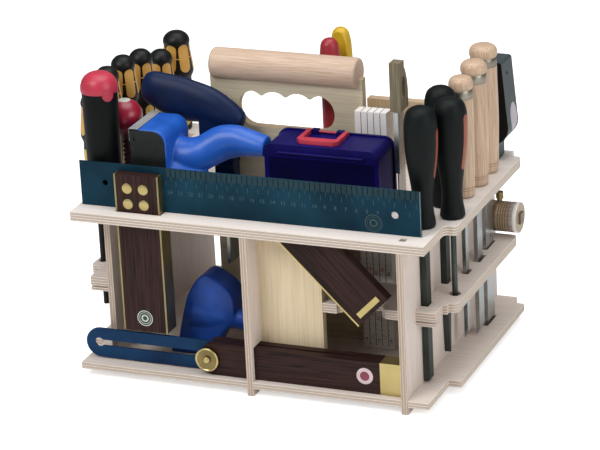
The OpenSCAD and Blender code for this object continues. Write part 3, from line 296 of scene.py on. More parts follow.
# stove enamel on a casting: even royal blue with a soft wet highlight
royal_blue = moulded("royal_blue_enamel_on_casting", "#2563c6", "#1650ac", rough=0.42, coat=0.12,
                     sheen=0.4)
# the same royal blue enamel painted darker, as painted shade on the small plane deep in the left
# bay
bay_blue_painted_shade = moulded("dark_blue_enamel_on_casting", "#1a4fae", "#0e2f78", rough=0.4, coat=0.1,
                   sheen=0.3)
# polypropylene, moulded with a satin texture: deep even navy, highlights spread wide
navy = moulded("moulded_navy_polypropylene", "#0a2047", "#051331", rough=0.46, sheen=0.22)
case_violet = moulded("moulded_violet_navy_polypropylene", "#171262", "#0e0b48", rough=0.42,
                      sheen=0.1)
# the same violet navy plastic painted darker, as painted shade on the case's let-in front panel
case_painted_shade = moulded("moulded_dark_navy_polypropylene", "#0c0940", "#08062e", rough=0.45,
                     sheen=0.1)
# ABS, moulded satin: a warm coral red that looks solid right through
coral = moulded("moulded_coral_abs", "#c0344a", "#9f273b", rough=0.4)
# cellulose acetate, turned and buffed: deep crimson with a small bright highlight
crimson = moulded("buffed_crimson_acetate", "#ad1f3c", "#82122b", rough=0.34, coat=0.15)
# ribbed nylon neck: dark red, matt between its ribs
neck_red = moulded("moulded_dark_red_nylon", "#5a1620", "#3c0e14", rough=0.45)
# polypropylene handle, moulded smooth: black with dull round highlights
black_gloss = moulded("moulded_black_polypropylene", "#0e1211", "#070908", rough=0.46, sheen=0.28)
# rubber sleeve, moulded matt: black that gives back almost no light
black_rubber = moulded("moulded_black_rubber", "#090c0c", "#040606", rough=0.5, sheen=0.16)
# panels of a second shot of clear grade plastic: amber, paler low down, and a little glossy
amber_upper = moulded("moulded_amber_acetate", "#dcae5c", "#c89544", rough=0.36, coat=0.15)
amber_lower = moulded("moulded_yellow_amber_acetate", "#dcbc68", "#c9a44c", rough=0.36, coat=0.15)
# soft thermoplastic rubber grip: green black and matt, with an orange brown second shot
file_black = moulded("moulded_green_black_soft_rubber", "#081010", "#040909", rough=0.55,
                     sheen=0.2)
stripe_brown = moulded("moulded_orange_brown_soft_rubber", "#9a4f35", "#7c3a2a", rough=0.45)
# slate grey nylon, painted nearly black where it faces forward as painted shade on its front; the
# sides keep their slate grey
knife_slate_painted_shade = painted_shade_forward("moulded_black_and_slate_nylon", "#040505", "#3e484a")
# vinyl dipped handles: satin red and yellow with broad highlights
red_satin = moulded("dipped_red_vinyl", "#a02a35", "#841f2a", rough=0.4)
yellow_satin = moulded("dipped_yellow_vinyl", "#d9b428", "#ba911b", rough=0.4)
# enamel paint on the wooden rule: clean satin white
white_rule = moulded("white_enamel_on_wood", "#f3f0ec", "#e6e1dc", rough=0.4)


# ------------------------------------ marks and inlays

# acid etched lines on blued steel: matt grey, and duller where they lie a millimetre apart
mark_pale = moulded("acid_etched_grey", "#49656c", "#3b555c", rough=0.6, sheen=0.2)
mark_fine = moulded("acid_etched_fine_grey", "#34484a", "#2c3e40", rough=0.6, sheen=0.2)
mark_ring = moulded("acid_etched_green_grey", "#4a5a54", "#3c4c48", rough=0.6, sheen=0.2)
# pad printing ink: flat and even
print_black = moulded("pad_printed_black_ink", "#1c1c20", "#141418", rough=0.5)
print_red = moulded("pad_printed_red_ink", "#c0343c", "#a8282f", rough=0.5)
# filled enamel inlays, rubbed flush: small glossy spots of colour
badge_plain = moulded("pale_enamel_inlay", "#cfd3c8", "#bcc2b4", rough=0.35)
badge_mauve = moulded("mauve_grey_enamel_inlay", "#b8b0b8", "#a69ea8", rough=0.35)
badge_rose = moulded("pale_rose_enamel_inlay", "#dcc8cc", "#ccb6bb", rough=0.4)
badge_green = moulded("dark_green_enamel_inlay", "#1d3a30", "#142b23", rough=0.4)
badge_red = moulded("dark_red_enamel_inlay", "#8a3d4c", "#73303d", rough=0.4)

FINISHES = {
    deck_ply: "deck",
    base_ply: "base_plate",
    shelf_ply: "shelf_left shelf_right shelf_inner",
    upright_ply: "upright_left upright_right",
    middle_ply: "upright_middle",
    board_ply: "handle_board",
    panel_ply: "bay_panel rear_rail",
    beech_dowel: "handle_grip",
    beech_handle: "chisel_1_handle chisel_2_handle chisel_3_handle",
    rosewood_up: "square_stock",
    rosewood_leaning: "mitre_stock",
    rosewood_long: "bevel_stock",
    brass: "bevel_cap mitre_brass",
    antique_brass: "bevel_screw gauge_screw",
    dull_brass: "square_brass",
    blued_steel: "square_blade mitre_blade",
    bevel_blue: "bevel_blade",
    blade_steel: "chisel_1_blade chisel_2_blade chisel_3_blade saw_blade scraper_blade",
    file_steel: "file_a_blade file_b_blade file_c_blade",
    plate_painted_dark: "shaver_plate",
    royal_blue: "shaver_body",
    bay_blue_painted_shade: "bay_plane",
    navy: "scraper_grip",
    case_violet: "case_base case_lid",
    coral: "case_bail ratchet_cap",
    crimson: "ball_awl",
    black_gloss: "driver_1 driver_2 driver_3 driver_4 driver_5 driver_6",
    black_rubber: "ratchet_body",
    file_black: "file_a_grip file_b_grip file_c_grip",
    knife_slate_painted_shade: "block_knife",
    red_satin: "rear_red",
    yellow_satin: "rear_yellow",
    white_rule: "rule_leaves",
    olive_tote: "saw_tote",
    gauge_tan: "gauge_head",
    gauge_dark: "gauge_stem",
}
for finish, names in FINISHES.items():
    for node in names.split():
        cad[node].data.materials.clear()
        cad[node].data.materials.append(finish)


# ------------------------------------ piece helpers

REST = 163.8  # height at which the tools stand, just over the deck
OUTSIDE = 0.04  # metres from a handle's middle at which a ray starts, clear of every handle
PINHOLE = 0.02  # radius in millimetres that stands for the middle of a turned piece
hit_trees = {}


def surface_of(node):
    """A ray-cast tree of a CAD node's surface."""
    if node not in hit_trees:
        mesh = cad[node].data
        corners = [v.co for v in mesh.vertices]
        hit_trees[node] = BVHTree.FromPolygons(corners, [p.vertices for p in mesh.polygons])
    return hit_trees[node]


def piece(name, points, faces, finish, body, node, smooth=True):
    """A mesh from points in millimetres that rides a body; its node argument is not used."""
    mesh = bpy.data.meshes.new(name)
    mesh.from_pydata([[c * MM for c in p] for p in points], [], faces)
    mesh.materials.append(finish)
    mesh.polygons.foreach_set("use_smooth", [smooth] * len(mesh.polygons))
    shape = bpy.data.objects.new(name, mesh)
    bpy.context.scene.collection.objects.link(shape)
    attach(shape, body)
    return shape


def joined(parts):
    """Points and faces of several shapes as one."""
    points, faces = [], []
    for more, rings in parts:
        faces += [[i + len(points) for i in ring] for ring in rings]
        points += more
    return points, faces


def net(rows, closed=False):
    """Faces between neighbouring rows of the same number of points."""
    points = [p for row in rows for p in row]
    wide = len(rows[0])
    faces = []
    for r in range(len(rows) - 1):
        for c in range(wide if closed else wide - 1):
            d = (c + 1) % wide
            faces.append([r * wide + c, r * wide + d, (r + 1) * wide + d, (r + 1) * wide + c])
    return points, faces


def round_about(k, sides):
    """Cosine and sine of the kth of so many equal turns."""
    return math.cos(math.tau * k / sides), math.sin(math.tau * k / sides)


def turned_about(profile, centre, axis="z", sides=72):
    """A shape turned from (radius, distance) points about an axis, closed at its middle."""
    rows = []
    for radius, along in profile:
        row = []
        for k in range(sides):
            c, s = round_about(k, sides)
            a, b = radius * c, radius * s
            offset = {"z": (a, b, along), "x": (along, a, b), "y": (b, along, a)}[axis]
            row.append([centre[i] + offset[i] for i in range(3)])
        rows.append(row)
    points, faces = net(rows, closed=True)
    if profile[0][0] <= PINHOLE:
        faces.append(list(range(sides))[::-1])
    if profile[-1][0] <= PINHOLE:
        faces.append(list(range(len(points) - sides, len(points))))
    return points, faces


def band(r0, r1, z0, z1, edge=0.25):
    """Closed section of a sleeve between two radii and two heights, with its outer edges eased."""
    outer = [(r1 - edge, z0), (r1, z0 + edge), (r1, z1 - edge), (r1 - edge, z1)]
    return [(r0, z0), *outer, (r0, z1), (r0, z0)]


def shot(node, centre, z, angle):
    """Where a ray to an upright handle's middle meets it: spot, normal, way out and reach."""
    outward = Vector((math.cos(angle), math.sin(angle), 0))
    start = Vector((centre[0], centre[1], z)) * MM
    found, normal, _, _ = surface_of(node).ray_cast(start + outward * OUTSIDE, -outward)
    return found, normal, outward, (found - start).length


def laid_round(node, centre, angle, z0, z1, half, lift=0.12, rows=18, columns=7):
    """A round-ended inlay laid on the side of an upright handle and lifted off its surface."""
    grid = []
    for i in range(rows):
        t = (1 - math.cos(math.pi * i / (rows - 1))) / 2
        z = z0 + (z1 - z0) * t
        end = min(z - z0, z1 - z)
        wide = half if end >= half else math.sqrt(max(half**2 - (half - end) ** 2, 0.01))
        reach = shot(node, centre, z, angle)[3]
        row = []
        for j in range(columns):
            turn = angle + (2 * j / (columns - 1) - 1) * wide * MM / reach
            found, normal, _, _ = shot(node, centre, z, turn)
            row.append((found / MM + normal * lift)[:])
        grid.append(row)
    return net(grid)


def laid_ring(node, centre, z0, z1, lift=0.12, sides=48):
    """A thin band that goes all the way round an upright handle."""
    rows = []
    for z in (z0, z1):
        row = []
        for k in range(sides):
            found, _, outward, _ = shot(node, centre, z, math.tau * k / sides)
            row.append((found / MM + outward * lift)[:])
        rows.append(row)
    return net(rows, closed=True)


def numeral(words, size, place, turn=0.0):
    """Flat numerals in a front plane: their points and faces, in millimetres."""
    curve = bpy.data.curves.new("numeral", "FONT")
    curve.body, curve.size, curve.resolution_u = words, size, 2
    curve.align_x, curve.align_y = "CENTER", "CENTER"
    holder = bpy.data.objects.new("numeral", curve)
    bpy.context.scene.collection.objects.link(holder)
    seen = holder.evaluated_get(bpy.context.evaluated_depsgraph_get())
    flat = bpy.data.meshes.new_from_object(seen)
    c, s = math.cos(turn), math.sin(turn)
    x, y, z = place
    points = [(x + v.co.x * c - v.co.y * s, y, z + v.co.x * s + v.co.y * c) for v in flat.vertices]
    faces = [list(p.vertices) for p in flat.polygons]
    bpy.data.objects.remove(holder)
    bpy.data.curves.remove(curve)
    bpy.data.meshes.remove(flat)
    return points, faces


def box_points(low, high):
    """A closed box between two corners."""
    spans = [(low[i], high[i]) for i in range(3)]
    points = [(x, y, z) for x in spans[0] for y in spans[1] for z in spans[2]]
    sides = [[0, 1, 3, 2], [4, 6, 7, 5], [0, 4, 5, 1], [2, 3, 7, 6], [0, 2, 6, 4], [1, 5, 7, 3]]
    return points, sides


def made_plain(shape):
    """Turns what an object's modifiers make into its plain mesh, and takes the modifiers off."""
    bpy.context.view_layer.update()
    made = shape.evaluated_get(bpy.context.evaluated_depsgraph_get())
    plain = bpy.data.meshes.new_from_object(made)
    shape.modifiers.clear()
    shape.data = plain


def repeated(name, finish, body, node, size, start, step, count, rows=1, row_step=(0, 0, 0)):
    """One small block set out in rows with geometry nodes. All its sizes are in millimetres."""
    shape = bpy.data.objects.new(name, bpy.data.meshes.new(name))
    bpy.context.scene.collection.objects.link(shape)
    tree = bpy.data.node_groups.new(name, "GeometryNodeTree")
    places = {"block_size": size, "first_place": start, "step": step, "row_step": row_step}
    wanted = {key: [v * MM for v in value] for key, value in places.items()}
    wanted |= {"count": count, "rows": rows}
    tree.interface.new_socket("blank", in_out="INPUT", socket_type="NodeSocketGeometry")
    sockets = {}
    for key, value in wanted.items():
        kind = "NodeSocketInt" if isinstance(value, int) else "NodeSocketVector"
        sockets[key] = tree.interface.new_socket(key, in_out="INPUT", socket_type=kind).identifier
    tree.interface.new_socket("blocks", in_out="OUTPUT", socket_type="NodeSocketGeometry")

    given = add(tree, "NodeGroupInput").outputs
    block = add(tree, "MeshCube", {"Size": given["block_size"]})
    one_row = {"Start Location": given["first_place"], "Offset": given["step"]}
    line = add(tree, "MeshLine", {"Count": given["count"], **one_row})
    row = add(tree, "InstanceOnPoints", {"Points": line, "Instance": block})
    starts = add(tree, "MeshLine", {"Count": given["rows"], "Offset": given["row_step"]})
    all_rows = add(tree, "InstanceOnPoints", {"Points": starts, "Instance": row})
    solid = add(tree, "RealizeInstances", {"Geometry": all_rows})
    dressed = add(tree, "SetMaterial", {"Geometry": solid, "Material": finish})
    add(tree, "NodeGroupOutput", {"blocks": dressed})

    modifier = shape.modifiers.new(name, "NODES")
    modifier.node_group = tree
    for key, value in wanted.items():
        modifier[sockets[key]] = value
    made_plain(shape)
    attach(shape, body)


def eased(points, steps=6):
    """A smooth curve through points of any number of values."""
    curve = []
    last = len(points) - 1
    for i in range(last):
        near = [points[min(max(j, 0), last)] for j in range(i - 1, i + 3)]
        for t in (s / steps for s in range(steps)):
            curve.append([
                0.5 * (2 * b + (c - a) * t + (2 * a - 5 * b + 4 * c - d) * t * t
                       + (3 * b - a - 3 * c + d) * t ** 3)
                for a, b, c, d in zip(*near)
            ])
    curve.append(list(points[-1]))
    return curve


def handle_points(path, sides=48):
    """A closed handle of oval sections along points of (x, y, z, half height, half depth)."""
    curve = eased(path)
    rows = []
    for i, (x, y, z, high, deep) in enumerate(curve):
        before, after = curve[max(i - 1, 0)], curve[min(i + 1, len(curve) - 1)]
        along = Vector((after[0] - before[0], after[2] - before[2])).normalized()
        row = []
        for k in range(sides):
            c, s = round_about(k, sides)
            up, out = high * c, deep * s
            row.append((x - along.y * up, y + out, z + along.x * up))
        rows.append(row)
    points, faces = net(rows, closed=True)
    ends = [list(range(sides))[::-1], list(range(len(points) - sides, len(points)))]
    return points, faces + ends


def slab_points(outline, y0, y1):
    """A closed slab with an outline of (x, z) points, between two depths."""
    n = len(outline)
    points = [(x, y, z) for y in (y0, y1) for x, z in outline]
    rim = [[(k + 1) % n, k, n + k, n + (k + 1) % n] for k in range(n)]
    return points, [list(range(n)), list(range(n, 2 * n))[::-1]] + rim


def cast(name, forms, finish, body, node, grain_mm=0.9, passes=10):
    """Closed forms grown together into one casting with soft corners, that replaces a node."""
    shape = piece(name, *joined(forms), finish, body, node)
    grown = shape.modifiers.new("grown", "REMESH")
    grown.mode = "VOXEL"
    grown.voxel_size = grain_mm * MM
    worn = shape.modifiers.new("worn", "SMOOTH")
    worn.iterations = passes
    made_plain(shape)
    shape.data.polygons.foreach_set("use_smooth", [True] * len(shape.data.polygons))
    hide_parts(node)


# ------------------------------------ screwdrivers, files and chisels

# each screwdriver's place, the height of its grip, and how wide its panels are against the usual
DRIVERS = [(-174.6, -60, 91.5, 0.93), (-172, -30, 107.5, 1), (-170, 1, 109, 1),
           (-169, 38, 103.5, 1), (-169, 82, 89.5, 1), (-165, 111.5, 99.5, 1.15)]
PANEL_TURN = math.radians(-64)  # the way that one panel of the first screwdriver faces
# lower and upper ends of the panels and of the ring between them, below the top of a grip
UPPER_PANEL, RING, LOWER_PANEL_TOP = (39, 11.5), (25.6, 24.6), 53
PANEL_FOOT = 5  # how far over the deck the lower panels start
UPPER_HALF_WIDTH, LOWER_HALF_WIDTH = 4.9, 4.5
# each chisel's place, and the height and greatest radius of its handle
CHISELS = [(164, 2, 114.2, 11.2), (165.3, 34.6, 119, 12.2), (162.8, 69.7, 123.1, 13)]
# each file insert: its file, its grip's place, the way it faces in degrees, and its upper end
FILE_INSERTS = [("file_c", (171.5, -50.8), -6, 98), ("file_a", (154.4, -80), 6, 92)]
INSERT_FOOT, INSERT_HALF_WIDTH = 46, 4
# a hoop's edges below the top of its handle, and its radii as shares of the handle's
HOOP_LOW, HOOP_TOP, HOOP_INNER, HOOP_OUTER = 20.4, 11.7, 0.9, 0.935


def driver_dress():
    """Amber panels let into the black grips, six above the waist and six below, and a fine ring."""
    for i, (x, y, tall, width) in enumerate(DRIVERS, 1):
        node = f"driver_{i}"
        top = REST + tall
        first = 0 if i == 1 else 30
        turns = [PANEL_TURN + math.radians(first + 60 * k) for k in range(6)]
        low, high, half = top - UPPER_PANEL[0], top - UPPER_PANEL[1], UPPER_HALF_WIDTH * width
        upper = [laid_round(node, (x, y), a, low, high, half) for a in turns]
        upper.append(laid_ring(node, (x, y), top - RING[0], top - RING[1], lift=0.06))
        piece(f"{node}_upper_panels", *joined(upper), amber_upper, node, node)
        low, high, half = REST + PANEL_FOOT, top - LOWER_PANEL_TOP, LOWER_HALF_WIDTH * width
        lower = [laid_round(node, (x, y), a, low, high, half) for a in turns]
        piece(f"{node}_lower_panels", *joined(lower), amber_lower, node, node)


def file_dress():
    """The coloured inserts along the sides of two files' grips."""
    for body, centre, facing, high in FILE_INSERTS:
        node = f"{body}_grip"
        turn = math.radians(facing)
        low, top = REST + INSERT_FOOT, REST + high
        insert = laid_round(node, centre, turn, low, top, INSERT_HALF_WIDTH, lift=0.15)
        piece(f"{body}_insert", *insert, stripe_brown, body, node)


def chisel_dress():
    """Steel hoops under the chisels' mushroomed ends, and scribed lines round the handles' feet."""
    for i, (x, y, high, r) in enumerate(CHISELS, 1):
        body = f"chisel_{i}"
        low, top = REST + high - HOOP_LOW, REST + high - HOOP_TOP
        hoop = turned_about(band(HOOP_INNER * r, HOOP_OUTER * r, low, top), (x, y, 0))
        piece(f"{body}_hoop", *hoop, hoop_pewter, body, f"{body}_blade")
        feet = [REST + 7, REST + 9.4]
        lines = [laid_ring(f"{body}_handle", (x, y), z, z + 0.5, lift=0.04) for z in feet]
        piece(f"{body}_scribed_lines", *joined(lines), scribed_brown, body, f"{body}_handle")


driver_dress()
file_dress()
chisel_dress()


# ------------------------------------ try square, bevel and rule

BLADE_FRONT = -107.34
BLADE_TOP = REST + 42.4
FIRST_MARK = -82  # the leftmost ruler mark, 24 centimetres from the blade's zero
# ruler marks: name, finish, spacing, length, width and count
BLADE_MARKS = [("fine", mark_fine, 1, 8.2, 0.5, 243), ("middle", mark_pale, 5, 11.5, 0.36, 49),
               ("long", mark_pale, 10, 16.5, 0.4, 25)]
LEFT_OUT = (21, 22)  # places in the row of numbers that the rings and the hanging hole take
NUMBER_SIZE, BESIDE_MARK, BELOW_TOP = 5.2, 3.6, 23
BADGE_SIDES = 56


def blade_marks():
    """Ruler marks on the try square's blade, longer each fifth and each tenth, with numbers."""
    dress = {"body": "try_square", "node": "square_blade"}
    for name, finish, step, long, wide, count in BLADE_MARKS:
        # real marks are a tenth of a millimetre wide: cut wider here so that they show
        start = (FIRST_MARK, BLADE_FRONT, BLADE_TOP - long / 2)
        repeated(f"square_{name}_marks", finish, size=(wide, 0.05, long), start=start,
                 step=(step, 0, 0), count=count, **dress)
    numbers = []
    for i in range(24):
        if i not in LEFT_OUT:
            x = FIRST_MARK + 10 * i + BESIDE_MARK
            place = (x, BLADE_FRONT - 0.02, BLADE_TOP - BELOW_TOP)
            numbers.append(numeral(str(24 - i), NUMBER_SIZE, place))
    piece("square_numbers", *joined(numbers), mark_pale, **dress, smooth=False)
    middle = (117.4, 0, 172.9)
    widths = [(7.5, 0.7), (5.6, 0.4), (2.4, 1.4)]
    rings = [
        turned_about([(r, BLADE_FRONT), (r + wide, BLADE_FRONT)], middle, "y") for r, wide in widths
    ]
    piece("square_plain_rings", *joined(rings), mark_ring, **dress)
    low, high = (161.3, BLADE_FRONT - 0.02, REST), (161.95, BLADE_FRONT + 0.03, BLADE_TOP)
    piece("square_bare_edge", *box_points(low, high), edge_pale, **dress, smooth=False)


def square_rivets():
    """Low domes of the rivets on both sides of the stock, and a round inlay on its front."""
    rise = [(4.85, 0), (4.6, 0.18), (3.6, 0.32), (2, 0.4), (PINHOLE, 0.42)]
    domes = []
    for x in (-117.3, -101.4):
        for z in (REST + 7.8, REST + 22.8):
            front = [(r, -h) for r, h in rise[::-1]]
            domes.append(turned_about(front, (x, -116.2, z), "y", 40))
            domes.append(turned_about(rise, (x, -96.8, z), "y", 40))
    dress = {"body": "try_square", "node": "square_brass"}
    piece("square_rivet_domes", *joined(domes), brass, **dress)

    middle = (-108.1, -116, 60.2)
    disc = turned_about([(PINHOLE, -0.18), (7.7, -0.18), (8, 0.02)], middle, "y", BADGE_SIDES)
    piece("square_badge_ground", *disc, badge_green, **dress)
    rings = []
    for r, wide in ((6.9, 0.6), (5.2, 0.3), (2.2, 1.2)):
        section = [(r, -0.2), (r + 0.2, -0.28), (r + wide, -0.28), (r + wide + 0.2, -0.2)]
        rings.append(turned_about(section, middle, "y", BADGE_SIDES))
    piece("square_badge_rings", *joined(rings), badge_plain, **dress)


def bevel_dress():
    """A rim and a small screw on the bevel's thumb screw, in pale brass that paints a highlight on
    the rim, and a round inlay near its cap.
    """
    front = -125.1
    screw = (-44.4, 0, 29.65)
    rises = [(9.6, 0), (10, 0.5), (10.6, 0.65), (11.1, 0.5), (11.4, 0)]
    rim = turned_about([(r, front - rise) for r, rise in rises], screw, "y")
    rises = [(PINHOLE, 2.3), (1.6, 2.2), (2.5, 1.9), (2.8, 1.2)]
    hub = turned_about([(r, front - rise) for r, rise in rises], screw, "y")
    # the rim and the small screw in pale brass: on the rim it is a painted highlight on the
    # tarnished thumb screw
    piece("bevel_screw_rim", *joined([rim, hub]), brass, "bevel_screw", "bevel_screw")
    middle = (108.6, -121.8, 30.6)
    disc = turned_about([(PINHOLE, -0.18), (7.6, -0.18), (7.9, 0.02)], middle, "y", BADGE_SIDES)
    piece("bevel_badge_ground", *disc, badge_rose, "bevel", "bevel_cap")
    disc = turned_about([(PINHOLE, -0.3), (4.3, -0.3), (4.5, -0.2)], middle, "y", 40)
    piece("bevel_badge_centre", *disc, badge_red, "bevel", "bevel_cap")


def rule_print():
    """Numbers and marks printed along the rule's leaves, and the dark joints between them."""
    dress = {"body": "rule", "node": "rule_leaves"}
    pitch, first = 6.1, 71
    black, red = [], []
    for leaf in range(5):
        x = first + pitch * leaf + 2.95
        for k in range(5):
            z = 22 + 22.5 * k + 4 * (leaf % 2)
            mark = numeral(str(10 * (k + 1) + leaf), 4.2, (x, -24.28, z), math.pi / 2)
            (red if leaf in (1, 3) and k % 3 == 0 else black).append(mark)
    piece("rule_black_numbers", *joined(black), print_black, **dress, smooth=False)
    piece("rule_red_numbers", *joined(red), print_red, **dress, smooth=False)
    repeated("rule_marks", print_black, size=(1.5, 0.05, 0.3), start=(71.85, -24.24, 18),
             step=(0, 0, 5), count=22, rows=5, row_step=(pitch, 0, 0), **dress)
    repeated("rule_top_joints", print_black, size=(0.5, 13.2, 0.2), start=(76.98, -17.5, 245.8),
             step=(pitch, 0, 0), count=4, **dress)
    repeated("rule_joints", print_black, size=(0.5, 0.4, 228), start=(76.98, -24.1, 131),
             step=(pitch, 0, 0), count=4, **dress)


blade_marks()
square_rivets()
bevel_dress()
rule_print()


# ------------------------------------ cast bodies and grips

FOOT = REST + 0.3  # underside of the shaver's and the scraper's cast feet


def shaver_form():
    """The shaver's painted body: a square head, a flared foot and a bent handle, cast in one."""
    corner = []
    for a in range(0, 91, 10):
        s, c = math.sin(math.radians(a)), math.cos(math.radians(a))
        corner.append((-97.4 + 12 * s, 224.5 + 12 * c))
    outline = [(-120.2, FOOT), (-120.2, 236.4), *corner, (-85.4, FOOT)]
    head = slab_points(outline, -94.9, -44.1)
    foot = handle_points([
        (-100, -73, 186, 24, 21), (-86, -73, 186, 21.5, 20.5), (-76, -73, 183, 18.5, 18.5),
        (-64, -73, 178, 16, 16), (-54, -73, 174, 13, 12.5), (-45, -73, 171, 9, 9),
        (-41, -73, 169.6, 4.5, 4.5),
    ])
    neck = handle_points([
        (-98, -66, 203, 21, 18), (-86, -66, 203, 19.5, 17.5), (-76, -66, 204, 17.8, 17),
        (-68, -65, 206, 16.5, 16.6), (-61, -63, 208.8, 15.8, 15.8),
        (-53.5, -60.5, 213, 16, 14.6), (-46, -58.4, 216.6, 16.3, 13.6),
        (-38.7, -57.4, 218.4, 15.9, 13), (-31.4, -57, 219.3, 14.9, 12.6),
        (-24.2, -57, 218.9, 13.5, 12.5), (-17, -57, 218.2, 12, 12.3),
        (-10, -57, 217.5, 10.8, 12.1), (-5.5, -57, 217, 9.8, 11.8), (-2.2, -57, 216.8, 9.2, 11.4),
    ])
    cast("shaver_form", [head, foot, neck], royal_blue, "shaver", "shaver_body")


def scraper_form():
    """The scraper's pistol grip with the holder of its blade under it."""
    y = -32
    grip = handle_points([
        (-134.6, y, 258.4, 6, 3), (-133, y, 257.9, 11.5, 5.6), (-127.4, y, 256.2, 15.6, 9),
        (-119, y, 253.6, 17.6, 11), (-106, y, 249.4, 20, 11.4), (-91, y, 246, 20.5, 11.4),
        (-71, y, 243, 17.8, 11.4), (-56, y, 236.5, 15.6, 11.2), (-45, y, 231, 13, 10.4),
        (-38.6, y, 227.8, 10.4, 8.8), (-36, y, 226.6, 6.4, 5.6),
    ])
    holder = box_points((-77, y - 9, REST + 24), (-44, y + 9, 236))
    foot = box_points((-64, y - 7, FOOT), (-44, y + 7, REST + 26))
    cast("scraper_form", [grip, holder, foot], navy, "scraper", "scraper_grip", passes=14)


def bay_plane_form():
    """The small plane in the left bay: an upright body on a thin sole, with a flaring neck."""
    low, y = 14.3, -70
    side = eased([
        (-95, 0), (-92, 16), (-88, 34), (-84, 48), (-81, 57), (-73, 71), (-63, 78.4), (-50, 73),
        (-39, 65), (-34.8, 53), (-35.5, 38), (-42, 27), (-51, 17), (-56, 8), (-58, 0),
    ], 4)
    body = slab_points([(x, low + z) for x, z in side], -80, -52)
    sole = box_points((-99, -83, low), (-52, -49, low + 4))
    neck = handle_points([
        (-78, y, low + 40, 24, 12.5), (-64, y, low + 38, 20, 12), (-52, y, low + 37, 15, 11),
        (-40, y, low + 36, 11, 10), (-28, y, low + 34, 9.6, 9.4), (-16, y, low + 30.2, 8.6, 8.8),
        (-10.5, y, low + 28, 7.6, 7.8), (-8.3, y, low + 27.1, 5, 5.2),
    ])
    cast("bay_plane_form", [body, sole, neck], bay_blue_painted_shade, "bay_plane", "bay_plane", passes=12)


# ------------------------------------ plates, panels and bands

PLATE_FRONT, PLATE_BACK = -96.15, -43.9
TOOTH_PITCH, TOOTH_ROW = 3.1, 3.7
AWL = (-146.2, -49.8, 0)


def shaver_dress():
    """The shaver's rows of punched teeth, the bent edge of its sole, and a black disc in its
    plate's hole as painted shade.
    """
    dress = {"body": "shaver", "node": "shaver_plate"}
    for word, x, z in (("even", -117, REST + 6), ("odd", -115.4, REST + 7.85)):
        repeated(f"shaver_teeth_{word}", tooth_steel, size=(1.5, 0.5, 0.7), start=(x, -96.45, z),
                 step=(TOOTH_PITCH, 0, 0), count=9, rows=16, row_step=(0, 0, TOOTH_ROW), **dress)
    left, top = -121.15, 237.25
    outline = [(left, 225), (left, top), (-112.2, top), (-112.2, 236.9), (-120.9, 236.9),
               (-120.9, 225)]
    ring = outline + outline[:1]
    strip = net([[(x, y, z) for x, z in ring] for y in (PLATE_FRONT, PLATE_BACK)])
    corners = [(x, y, z) for y in (PLATE_FRONT, PLATE_BACK) for x, z in outline]
    ends = (corners, [[5, 4, 1, 0], [4, 3, 2, 1], [6, 7, 10, 11], [7, 8, 9, 10]])
    piece("shaver_sole_edge", *joined([strip, ends]), sole_steel, **dress, smooth=False)
    # a black disc set just inside the plate's hole: painted shade for the hole's dark depth
    section = [(PINHOLE, -95.2), (1.9, -95.2), (2, -95)]
    screw = turned_about(section, (-115.7, 0, 227.5), "y", 32)
    piece("shaver_plate_screw", *screw, print_black, **dress)


def case_dress():
    """The let-in panel on the case's front, in the case's plastic painted darker than its frame as
    painted shade.
    """
    left, right, low, spring, r = 4.6, 105.6, 1, 43, 6.5
    turns = [math.radians(a) for a in range(0, 91, 15)]
    arch = [(r - r * math.cos(a), spring + r * math.sin(a)) for a in turns]
    rising = [(left + x, z) for x, z in arch]
    falling = [(right - x, z) for x, z in arch[::-1]]
    outline = [(left, low), *rising, *falling, (right, low)]
    case_left, front, back = -1.4, -67.5, -67.1
    panel = slab_points([(case_left + x, REST + z) for x, z in outline][::-1], front, back)
    piece("case_front_panel", *panel, case_painted_shade, "case", "case_base", smooth=False)


def awl_dress():
    """The awl's pale flat button, and its dark ribbed neck."""
    ball_middle, ball_radius = 68, 15.2
    top = REST + ball_middle + ball_radius
    section = [(5.9, top - 0.1), (5.6, top + 0.35), (4, top + 0.6), (PINHOLE, top + 0.7)]
    piece("awl_button", *turned_about(section, AWL), badge_plain, "awl", "ball_awl")
    outline = [(3.25, 0.2)]
    ribs, pitch = 10, 4.4
    for i in range(ribs):
        low = pitch * i
        outline += [(3.3, 1.9 + low), (4.0, 2 + low), (4.0, 4.4 + low), (3.3, 4.5 + low)]
    outline += [(4.1, 46.2), (7.4, 53)]
    neck = turned_about([(r, REST + z) for r, z in outline], AWL)
    piece("awl_neck", *neck, neck_red, "awl", "ball_awl")


def gauge_dress():
    """Painted and turned bands round the marking gauge's head."""
    dress = {"body": "gauge", "node": "gauge_head"}
    axis = (0, 104, 106)
    sleeves = [(151.5, 158, gauge_grey, "grey"), (159.3, 163.4, gauge_dark, "dark"),
               (175, 179.2, gauge_grey, "second_grey"), (179.6, 183.6, white_rule, "white")]
    for x0, x1, finish, word in sleeves:
        sleeve = turned_about(band(14, 14.62, x0, x1), axis, "x")
        piece(f"gauge_{word}_band", *sleeve, finish, **dress)
    starts = (165.2, 167.6, 170, 172.2)
    stripes = [turned_about(band(14, 14.5, x, x + 0.9, 0.1), axis, "x") for x in starts]
    piece("gauge_ochre_lines", *joined(stripes), gauge_dark, **dress)


